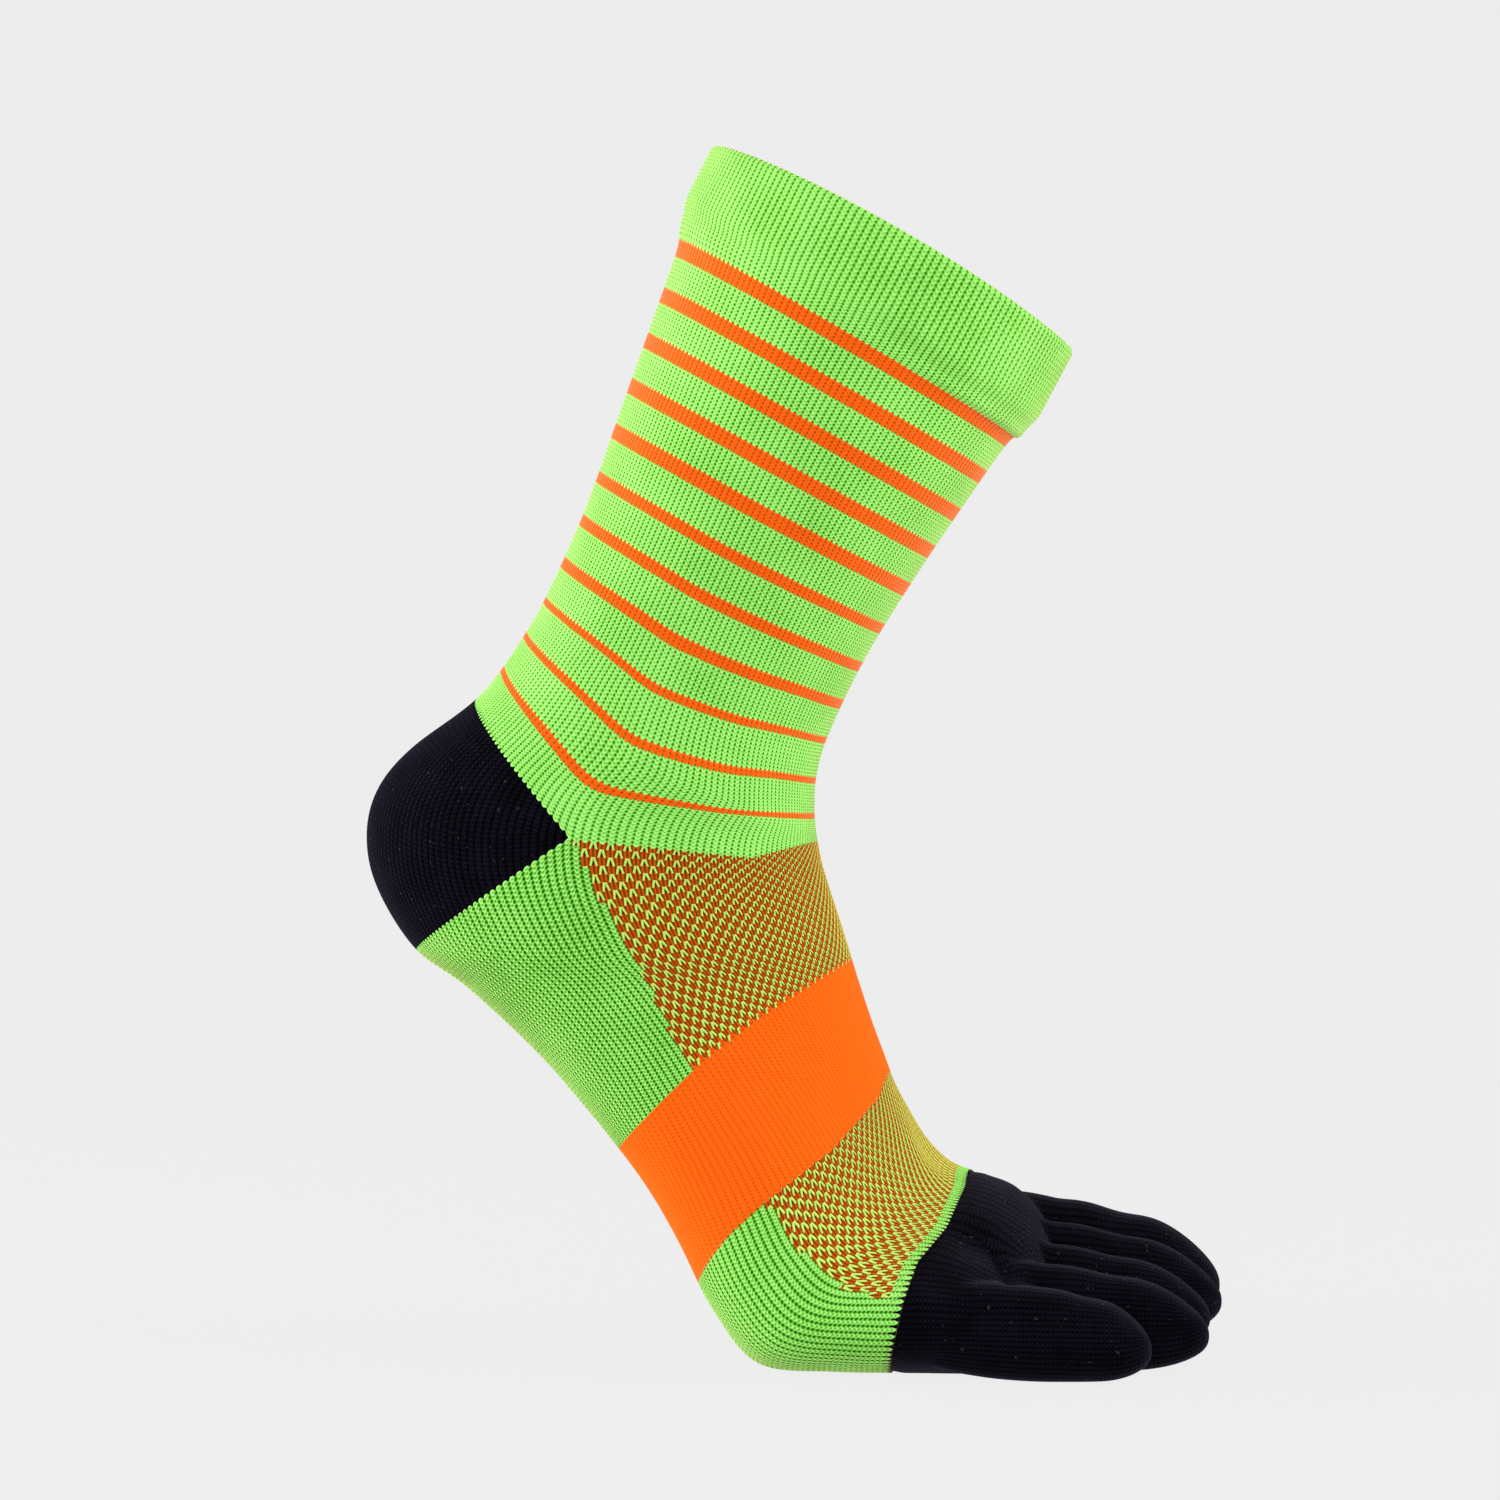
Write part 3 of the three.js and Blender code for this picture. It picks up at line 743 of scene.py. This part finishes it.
def striped_green(look, name):
    """Green knit with the leg's orange stripes, which get thinner towards the ankle."""
    finish = Finish(name, GREEN_FUZZ)
    stitches = Stitches(finish)
    shade = shaded(finish, stitches)
    green, orange = green_painted_shading(finish, look, shade), orange_painted_shading(finish, look, shade)
    offset = COURSES_PER_STRIPE / 2 - FIRST_STRIPE + 0.5
    place = ((stitches.row + offset) / COURSES_PER_STRIPE).fraction()
    away = abs(place - 0.5) * COURSES_PER_STRIPE
    thinned = (stitches.row - THINNING_START).at_least(0.0) / THINNING_RUN
    stripe = away < (FULL_STRIPE - thinned).at_least(THIN_STRIPE)
    striped = stitches.row < LAST_STRIPE_COURSE + COURSES_PER_STRIPE / 2
    finish.colour(finish.mix(stripe * striped, green, orange))
    finish.bump(stitches.height, *GREEN_BUMP)
    return finish.material


def plain_green(look, name, openness, beat):
    """Plain green knit."""
    finish = Finish(name, GREEN_FUZZ)
    stitches = Stitches(finish, openness=openness, beat=beat)
    finish.colour(green_painted_shading(finish, look, shaded(finish, stitches)))
    finish.bump(stitches.height, *GREEN_BUMP)
    return finish.material


def front_green(look, name):
    """Plain green knit of the front sole, between the orange band and the black toes."""
    finish = Finish(name, GREEN_FUZZ)
    stitches = Stitches(finish, openness=1.45)
    across, course = stitches.across, stitches.course
    shade = shaded(finish, stitches)
    colour = finish.mix(fingers(across, course, FRONT_FINGERS), green_painted_shading(finish, look, shade),
                        orange_painted_shading(finish, look, shade))
    colour = finish.mix(notches(across, FOOT_COURSES[2] - course, TOE_NOTCHES), colour,
                        black_painted_shading(finish, look, shade))
    finish.colour(colour)
    finish.bump(stitches.height, *GREEN_BUMP)
    return finish.material


def dense_orange(look, name):
    """Dense orange knit of the arch band."""
    finish = Finish(name, ORANGE_FUZZ)
    stitches = Stitches(finish, uneven=0.2, openness=0.75)
    finish.colour(orange_painted_shading(finish, look, shaded(finish, stitches, 0.15)))
    finish.bump(stitches.height, 0.0003, 0.5)
    return finish.material


def open_mesh(look, name, front):
    """Pairs of green strands, staggered on an orange-brown ground.

    A motif is two wales wide and four courses long. front is the part between the arch band and
    the toes, with wider strands and a plain green edge."""
    finish = Finish(name, MESH_FUZZ)
    stitches = Stitches(finish, uneven=0.6)
    across, course = stitches.across, stitches.course
    odd = stitches.wale.floor() % 2.0
    phase = ((odd * 2.0 + stitches.uneven_course) / 4.0).fraction()
    beside = abs(across - (phase * PAIR_SPREAD + PAIR_START))
    strand = (1.0 - beside / (course * PAIR_WIDENING + PAIR_WIDTH[front])).at_least(0.0)
    pair = (phase < PAIR_LENGTH[front]) * strand
    ground_height = (stitches.rib * 0.8 + 0.1) * stitches.strand
    tint = finish.swing(YARN_NOISE, 0.25)
    # Painted shade in the valleys of the ground and at the strands' edges, painted highlight on their tops.
    ground = finish.ramp(ground_height + tint, (0.08, tone(look.brown, 0.30)),
                         (0.35, tone(look.brown, 0.85)), (0.75, tone(look.brown, 1.25)))
    green = finish.ramp(pair + tint, (0.10, tone(look.pale, 0.60)), (0.32, look.pale),
                        (0.70, tone(look.pale, 1.10, 0.06)))
    # Painted shade: dark brown in the holes of the open pattern.
    hole_shade = abs(phase - HOLE_PLACE) * HOLE_NARROWING + across < HOLE_SIZE
    ground = finish.mix(hole_shade, ground, (*tone(look.brown, 0.10), 1))
    colour = finish.mix(pair > PAIR_EDGE, ground, green)
    shade = shaded(finish, stitches)
    before = orange_painted_shading(finish, look, shade) if front else green_painted_shading(finish, look, shade)
    colour = finish.mix(fingers(across, course, MESH_FINGERS), colour, before)
    if front:
        left = FOOT_COURSES[2] - course
        colour = finish.mix(left < GREEN_EDGE, colour, green_painted_shading(finish, look, shade))
        colour = finish.mix(notches(across, left, TOE_NOTCHES), colour,
                            black_painted_shading(finish, look, shade))
    else:
        across_motif = abs((stitches.wale / 2.0).fraction() * 2.0 - 1.0)
        colour = finish.mix(notches(across_motif, FOOT_COURSES[0] - course, BAND_NOTCHES), colour,
                            orange_painted_shading(finish, look, shade))
    finish.colour(colour)
    finish.bump((ground_height * 0.55).at_least(pair), 0.0005, 0.8)
    return finish.material


def dense_black(look, name, with_green_edge):
    """Black knit with fine ribs and specks of lint. At the heel, green wales reach over its edges."""
    finish = Finish(name, BLACK_FUZZ)
    stitches = Stitches(finish, uneven=0.3)
    # Painted shade in the rib valleys and painted highlight on the crests, with soft patches.
    shade = stitches.height * 0.9 - 0.2 + finish.noise(150, 5) * 0.4
    lint = finish.ramp(finish.noise(1000, 0), (0.79, (0, 0, 0)), (0.84, (1, 1, 1)))
    colour = finish.mix(lint, black_painted_shading(finish, look, shade), (*tone(look.black, 1.0, 0.02), 1))
    if with_green_edge:
        colour = finish.mix(fingers(stitches.across, stitches.course, HEEL_FINGERS), colour,
                            green_painted_shading(finish, look, shaded(finish, stitches)))
    finish.colour(colour)
    finish.bump(stitches.height, 0.0003, 0.6)
    return finish.material


# Each finish: the record's slot, the function that makes it, the material's name and its settings
FINISHES = {
    "striped": ("green_knit", striped_green, "green_knit_striped"),
    "cuff_green": ("green_knit", plain_green, "green_knit_cuff", 1.05, 0.45),
    "sole_green": ("green_knit", plain_green, "green_knit_sole", 1.6, 1.0),
    "front_green": ("green_knit", front_green, "green_knit_front"),
    "orange": ("orange_knit", dense_orange, "orange_knit_dense"),
    "rear_mesh": ("mesh_knit", open_mesh, "mesh_knit_rear", False),
    "front_mesh": ("mesh_knit", open_mesh, "mesh_knit_front", True),
    "heel_black": ("black_knit", dense_black, "black_knit_heel", True),
    "toe_black": ("black_knit", dense_black, "black_knit_toes", False),
}
made_materials = {}


def finish_of(context, kind):
    """The material of a finish and the record's slot that it belongs to."""
    slot, make, *settings = FINISHES[kind]
    if kind not in made_materials:
        made_materials[kind] = make(context.scene.sock_knit, *settings)
    return made_materials[kind], slot


def show(context, node, kind, *parts):
    """Adds the piece that shows a node, from the parts of its mesh, in a finish."""
    name = "knit_" + node
    mesh = new_mesh(name, *parts)
    material, slot = finish_of(context, kind)
    add_piece(name, mesh, material, slot, node)


class SOCK_OT_cuff(Operator):
    """Adds the folded welt at the top"""

    bl_idname = "sock.cuff"
    bl_label = "Cuff"

    def execute(self, context):
        form = sock_form(context)
        sizes = form.sizes
        depth = form.measure_at(1.0)
        outside, inside_wall = -sizes.welt_proud, sizes.welt_wall - sizes.welt_proud
        radius = sizes.welt_wall * RIM_SHARE
        path = []
        for down in np.linspace(depth, radius, CUFF_ROWS):
            share = min(1.0, (depth - down) / CUFF_ROLL)
            path.append((outside * share * share * (3 - 2 * share), down))
        middle = (outside + inside_wall) / 2
        for turn in np.linspace(0, math.pi, RIM_STEPS)[1:]:
            inset = middle - (middle - outside) * math.cos(turn)
            path.append((inset, radius * (1 - math.sin(turn))))
        path += [(inside_wall, down) for down in np.linspace(radius, depth, INSIDE_ROWS)[1:]]
        inset, down = np.array(path).T
        column = np.arange(form.columns)
        crown = sizes.rim_crown / depth * np.sin(form.angles[0][:-1]) ** 2
        crown = crown * (1 - down / depth)[:, None]
        relief = np.tile(RELIEF, form.columns // FINE) * (inset < outside / 2 + radius)[:, None]
        station = (down / depth)[:, None] - crown
        points = form.at(station, column, inset[:, None] - relief)
        count = len(path)
        run = -np.concatenate([[0], np.cumsum(np.hypot(np.diff(inset), np.diff(down)))]) / CUFF_PITCH
        row, side = np.meshgrid(np.arange(count), column, indexing="ij")
        corners = [(0, 0), (0, 1), (1, 1), (1, 0)]
        faces = [((row + r) % count) * form.columns + (side + c) % form.columns for r, c in corners]
        places = [np.stack([(side + c) / FINE, run[(row + r) % count]], -1) for r, c in corners]
        group = np.stack([f.ravel() for f in faces], 1)
        coordinates = np.stack([p.reshape(-1, 2) for p in places], 1)
        show(context, "cuff", "cuff_green", points.reshape(-1, 3), [group], [coordinates])
        return {"FINISHED"}


class SOCK_OT_leg(Operator):
    """Adds the striped leg below the cuff"""

    bl_idname = "sock.leg"
    bl_label = "Leg"

    def execute(self, context):
        form = sock_form(context)
        look = context.scene.sock_knit
        begin = form.measure_at(1.0)
        stripe = softened(form.measure_at(form.crossing(LAST_STRIPE)), STRIPE_SOFTNESS)
        hem = form.measure_at(form.heel_edges()[0])
        rows = round((hem.mean() - begin) / look.row_pitch)
        course = np.linspace(0, LEG_COURSES, rows + 1)[:, None]
        share = np.minimum(course / LAST_STRIPE_COURSE, 1)
        beyond = np.maximum(course - LAST_STRIPE_COURSE, 0) / (LEG_COURSES - LAST_STRIPE_COURSE)
        gone = begin + (stripe.mean() - begin) * share + (stripe - stripe.mean()) * share ** BEND
        stations = form.station_at(gone + (hem - stripe) * beyond)
        courses = np.broadcast_to(course, stations.shape)
        chosen = np.ones((rows, look.wales), bool)
        show(context, "leg", "striped", *knit_zone(form, stations, courses, chosen))
        return {"FINISHED"}


class SOCK_OT_heel(Operator):
    """Adds the wedge of the heel"""

    bl_idname = "sock.heel"
    bl_label = "Heel"

    def execute(self, context):
        form = sock_form(context)
        look = context.scene.sock_knit
        start, end = form.heel_edges()
        stations = start + (end - start) * np.linspace(0, 1, HEEL_ROWS + 1)[:, None]
        gone = form.measure_at(stations)
        courses = np.minimum(gone - gone[0], gone[-1] - gone) / COURSE_PITCH
        deep = (gone[-1] - gone[0] > SHORTEST_HEEL)[::FINE]
        chosen = np.broadcast_to(deep | np.roll(deep, -1), (HEEL_ROWS, look.wales))
        show(context, "heel_pocket", "heel_black", *knit_zone(form, stations, courses, chosen))
        return {"FINISHED"}


class SOCK_OT_foot(Operator):
    """Adds the zones of the foot between heel and toes"""

    bl_idname = "sock.foot"
    bl_label = "Foot"

    def execute(self, context):
        form = sock_form(context)
        look = context.scene.sock_knit
        sizes = form.sizes
        toe_hem = form.crossing(TOE_HEM, steep=True, after=TOE_HEM_AFTER)
        edges = np.stack([
            form.measure_at(form.heel_edges()[1]),
            softened(form.measure_at(form.crossing(BAND_REAR)), BAND_SOFTNESS),
            softened(form.measure_at(form.crossing(BAND_FRONT)), BAND_SOFTNESS),
            softened(form.measure_at(toe_hem), HEM_SOFTNESS),
        ])
        mesh_rear, mesh_front = side_view(sizes, MESH_REAR), side_view(sizes, MESH_FRONT)
        zones = (
            ("rear_instep_mesh", 0, "rear_mesh"),
            ("rear_sole", 0, "sole_green"),
            ("arch_band", 1, "orange"),
            ("front_instep_mesh", 2, "front_mesh"),
            ("front_sole", 2, "front_green"),
        )
        middle = np.arange(FINE // 2, form.columns, FINE)
        for node, part, kind in zones:
            length = (edges[part + 1] - edges[part]).mean()
            rows = round(length / look.row_pitch)
            share = np.linspace(0, 1, rows + 1)
            stations = form.station_at(through(edges, part + share))
            courses = np.broadcast_to(share[:, None] * FOOT_COURSES[part], stations.shape)
            centre = form.at((stations[:-1, middle] + stations[1:, middle]) / 2, middle)
            x, z = centre[..., 0], centre[..., 2]
            chosen = {
                "rear_instep_mesh": x > line_x(mesh_rear, z),
                "rear_sole": x <= line_x(mesh_rear, z),
                "arch_band": np.ones(x.shape, bool),
                "front_instep_mesh": z > line_z(mesh_front, x),
                "front_sole": z <= line_z(mesh_front, x),
            }[node]
            show(context, node, kind, *knit_zone(form, stations, courses, chosen))
        return {"FINISHED"}


def toe_lanes(sizes):
    """Name, middle, half width, tip, height and lift of each toe across the foot."""
    widths = [row[1] * sizes.foot_width for row in TOES]
    edge = -(sum(widths) + sizes.toe_gap * (len(TOES) - 1)) / 2
    lanes = []
    for (name, _, tip, height, lift), width in zip(TOES, widths):
        lanes.append((name, edge + width / 2, width / 2, tip * sizes.toe_reach,
                      height * sizes.toe_height, lift * sizes.toe_height))
        edge += width + sizes.toe_gap
    return lanes


def toe_loft(sizes, lane, rings, sides):
    """Points of one toe from inside the foot to its round tip, which lifts off the ground."""
    _, middle, half, tip, height, lift = lane
    start, root = TOE_START * sizes.toe_reach, TOE_ROOT * sizes.toe_reach
    share = np.linspace(0, 1, rings + 1)[:, None]
    angle = np.linspace(0, 2 * np.pi, sides, endpoint=False)[None, :]
    x = start + (tip - start) * np.sin(share * math.pi / 2)
    free = np.clip((x - root) / (tip - root), 0, 1)
    beyond = np.maximum(0, (free - TOE_DOME) / (1 - TOE_DOME))
    dome = np.maximum(0, 1 - beyond ** TIP_FULLNESS) ** (1 / TIP_FULLNESS)
    buried = np.clip((root - x) / (root - start), 0, 1)
    narrow = 1 - (1 - TOE_NARROW) * buried ** 2
    outer = height / 2 * (1 - TOE_SLIM * free ** 2 + TOE_RISE * buried)
    outer *= 1 - KNUCKLE * np.exp(-((free - KNUCKLE_PLACE) / KNUCKLE_RUN) ** 2)
    raised = lift * free ** 2 / 2
    high = (outer - raised) * dome * narrow
    y = middle + half * dome * narrow * signed_power(np.sin(angle), 2 / TOE_FULLNESS)
    z = outer + raised - sizes.ankle_height + high * signed_power(np.cos(angle), 2 / TOE_FULLNESS)
    return np.stack([x + 0 * y, y, z], -1)


def closed_tube(points):
    """Vertices and faces of rings joined into a closed tube."""
    rings, sides = points.shape[:2]
    row, side = np.meshgrid(np.arange(rings - 1) * sides, np.arange(sides), indexing="ij")
    ahead = (side + 1) % sides
    walls = np.stack([row + side, row + sides + side, row + sides + ahead, row + ahead], -1)
    ends = [list(range(sides)), list(reversed(range((rings - 1) * sides, rings * sides)))]
    return points.reshape(-1, 3), walls.reshape(-1, 4).tolist() + ends


def joined_tubes(context, tubes, pitch):
    """One even skin round closed tubes that overlap: points, normals and four-sided faces."""
    vertices, faces = [], []
    for tube in tubes:
        points, tube_faces = closed_tube(tube)
        faces += [[index + len(vertices) for index in face] for face in tube_faces]
        vertices += points.tolist()
    rough = bpy.data.objects.new("rough", bpy.data.meshes.new("rough"))
    rough.data.from_pydata(vertices, [], faces)
    context.scene.collection.objects.link(rough)
    remesh = rough.modifiers.new("even", "REMESH")
    remesh.mode = "VOXEL"
    remesh.voxel_size = pitch
    smooth = rough.modifiers.new("soft", "SMOOTH")
    smooth.factor = 0.5
    smooth.iterations = SKIN_SMOOTHING
    even = bpy.data.meshes.new_from_object(rough.evaluated_get(context.evaluated_depsgraph_get()))
    bpy.data.meshes.remove(rough.data)
    found = []
    for source, key, width, kind in ((even.vertices, "co", 3, float), (even.vertices, "normal", 3, float),
                                     (even.loops, "vertex_index", 4, int)):
        values = np.empty(len(source) * (1 if width == 4 else 3), kind)
        source.foreach_get(key, values)
        found.append(values.reshape(-1, width))
    bpy.data.meshes.remove(even)
    return found


def walled(points, normals, quads, knit, wall):
    """Gives a skin an inner side and rims: points and groups of faces, coordinates and normals."""
    inner = len(points)
    edges = np.concatenate([quads[:, [k, (k + 1) % 4]] for k in range(4)])
    places = np.concatenate([knit[:, [k, (k + 1) % 4]] for k in range(4)])
    names = edges[:, 0] * inner + edges[:, 1]
    free = ~np.isin(names, edges[:, 1] * inner + edges[:, 0])
    a, b = edges[free].T
    rims = np.stack([b, a, a + inner, b + inner], 1)
    rim_places = places[free][:, [1, 0, 0, 1]]
    groups = [quads, quads[:, ::-1] + inner, rims]
    shades = [normals[quads], -normals[quads[:, ::-1]], np.zeros((len(rims), 4, 3))]
    both = np.concatenate([points, points - normals * wall])
    return both, groups, [knit, knit[:, ::-1], rim_places], shades


class SOCK_OT_toes(Operator):
    """Adds the black forefoot and the five toe pockets as one form, split into its pieces"""

    bl_idname = "sock.toes"
    bl_label = "Toes"

    def execute(self, context):
        form = sock_form(context)
        sizes, look = form.sizes, context.scene.sock_knit
        lanes = toe_lanes(sizes)
        station = np.linspace(FOREFOOT_START, form.last, FOREFOOT_RINGS)[:, None]
        foot = form.at(np.repeat(station, look.wales, 1), np.arange(0, form.columns, FINE))
        tubes = [foot] + [toe_loft(sizes, lane, TOE_RINGS, TOE_SIDES) for lane in lanes]
        points, normals, quads = joined_tubes(context, tubes, look.toe_pitch)
        hem = side_view(sizes, TOE_HEM)
        ahead = np.clip((points[:, 0] - line_x(hem, points[:, 2])) / RECESS_END, 0, 1)
        swell = (PROUD + RECESS) * ahead * ahead * (3 - 2 * ahead) - RECESS
        points = points + normals * (swell - form.sunk(points, CREASES))[:, None]
        middles, halves, heights = (np.array([lane[k] for lane in lanes]) for k in (1, 2, 4))
        centre = points[quads].mean(1)
        own = np.argmin(np.abs(centre[:, 1:2] - middles) / halves, axis=1)
        corner = points[quads]
        turn = np.arctan2(corner[..., 1] - middles[own][:, None],
                          corner[..., 2] + sizes.ankle_height - heights[own][:, None] / 2)
        wale = turn / (2 * math.pi) * TOE_WALES
        wale += TOE_WALES * (wale.max(1, keepdims=True) - wale > TOE_WALES / 2)
        knit = np.stack([wale, corner[..., 0] / COURSE_PITCH], -1)
        in_front = centre[:, 0] > line_x(hem, centre[:, 2]) - RECESS / 2
        is_toe = centre[:, 0] > TOE_LINE * sizes.toe_reach
        pieces = [("toe_base", in_front & ~is_toe)]
        pieces += [(lane[0], is_toe & (own == number)) for number, lane in enumerate(lanes)]
        for node, chosen in pieces:
            parts = walled(points, normals, quads[chosen], knit[chosen], sizes.knit_wall)
            show(context, node, "toe_black", *parts)
        return {"FINISHED"}


class SOCK_OT_stage(Operator):
    """Adds the floor, the lights and the camera"""

    bl_idname = "sock.stage"
    bl_label = "Stage"

    def execute(self, context):
        stage = context.scene.sock_stage
        scene = context.scene
        scene.view_settings.view_transform = "Standard"
        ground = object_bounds()[0].z
        bend, back, near, wide, tall = 0.8, 1.6, 12.0, 12.0, 3.0
        profile = [(-near, 0.0), (back - bend, 0.0)]
        for k in range(1, FLOOR_BEND_STEPS + 1):
            turn = math.radians(90) * k / FLOOR_BEND_STEPS
            profile.append((back - bend + bend * math.sin(turn), bend * (1 - math.cos(turn))))
        profile.append((back, tall))
        vertices = [(side * wide, y, ground + z) for y, z in profile for side in (-1, 1)]
        faces = [(2 * k, 2 * k + 1, 2 * k + 3, 2 * k + 2) for k in range(len(profile) - 1)]
        mesh = bpy.data.meshes.new("backdrop")
        mesh.from_pydata(vertices, [], faces)
        for polygon in mesh.polygons:
            polygon.use_smooth = True
        backdrop = bpy.data.objects.new("backdrop", mesh)
        scene.collection.objects.link(backdrop)
        material = bpy.data.materials.new("backdrop_paper")
        material.use_nodes = True
        paper = material.node_tree.nodes["Principled BSDF"]
        paper.inputs["Base Color"].default_value = (stage.backdrop, stage.backdrop, stage.backdrop, 1)
        paper.inputs["Emission Color"].default_value = (1, 1, 1, 1)
        paper.inputs["Emission Strength"].default_value = stage.glow
        paper.inputs["Specular IOR Level"].default_value = 0
        paper.inputs["Roughness"].default_value = 1
        mesh.materials.append(material)
        backdrop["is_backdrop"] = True
        target = Vector(VIEW_MIDDLE)
        ahead = Vector((-math.sin(stage.yaw), math.cos(stage.yaw), 0))
        camera = bpy.data.objects.new("camera", bpy.data.cameras.new("camera"))
        camera.data.lens = stage.lens
        camera.data.sensor_width = 36
        camera.location = target - ahead * stage.distance
        camera.rotation_euler = ahead.to_track_quat("-Z", "Y").to_euler()
        scene.collection.objects.link(camera)
        scene.camera = camera
        lights = (
            ("left_light", (-0.9, -0.12, 0.30), 0.9, stage.left_power),
            ("right_light", (1.0, -0.12, 0.35), 0.9, stage.right_power),
            ("front_light", (0.1, -1.1, 0.8), 0.9, stage.front_power),
        )
        for name, place, size, power in lights:
            light = bpy.data.objects.new(name, bpy.data.lights.new(name, "AREA"))
            light.data.size = size
            light.data.energy = power
            light.location = place
            light.rotation_euler = (target - light.location).to_track_quat("-Z", "Y").to_euler()
            scene.collection.objects.link(light)
        world = bpy.data.worlds.new("studio")
        world.use_nodes = True
        world.node_tree.nodes["Background"].inputs["Color"].default_value = (1, 1, 1, 1)
        world.node_tree.nodes["Background"].inputs["Strength"].default_value = stage.ambient
        scene.world = world
        return {"FINISHED"}


class SOCK_PT_panel(Panel):
    """Sizes, yarns and steps of the sock"""

    bl_idname = "SOCK_PT_panel"
    bl_label = "Toe sock"
    bl_space_type = "VIEW_3D"
    bl_region_type = "UI"
    bl_category = "Sock"

    def draw(self, context):
        for settings in (context.scene.sock_sizes, context.scene.sock_knit, context.scene.sock_stage):
            box = self.layout.box()
            for name in settings.__annotations__:
                box.prop(settings, name)
        for step in STEPS:
            self.layout.operator(step.bl_idname)


STEPS = (SOCK_OT_cuff, SOCK_OT_leg, SOCK_OT_heel, SOCK_OT_foot, SOCK_OT_toes, SOCK_OT_stage)
SETTINGS = {"sock_sizes": SockSizes, "sock_knit": SockKnit, "sock_stage": SockStage}


def register():
    for name, group in SETTINGS.items():
        bpy.utils.register_class(group)
        setattr(bpy.types.Scene, name, PointerProperty(type=group))
    for step in STEPS:
        bpy.utils.register_class(step)
    bpy.utils.register_class(SOCK_PT_panel)


def unregister():
    bpy.utils.unregister_class(SOCK_PT_panel)
    for step in reversed(STEPS):
        bpy.utils.unregister_class(step)
    for name, group in SETTINGS.items():
        delattr(bpy.types.Scene, name)
        bpy.utils.unregister_class(group)


def main():
    register()
    bpy.ops.sock.cuff()
    bpy.ops.sock.leg()
    bpy.ops.sock.heel()
    bpy.ops.sock.foot()
    bpy.ops.sock.toes()
    bpy.ops.sock.stage()


if __name__ == "__main__":
    main()
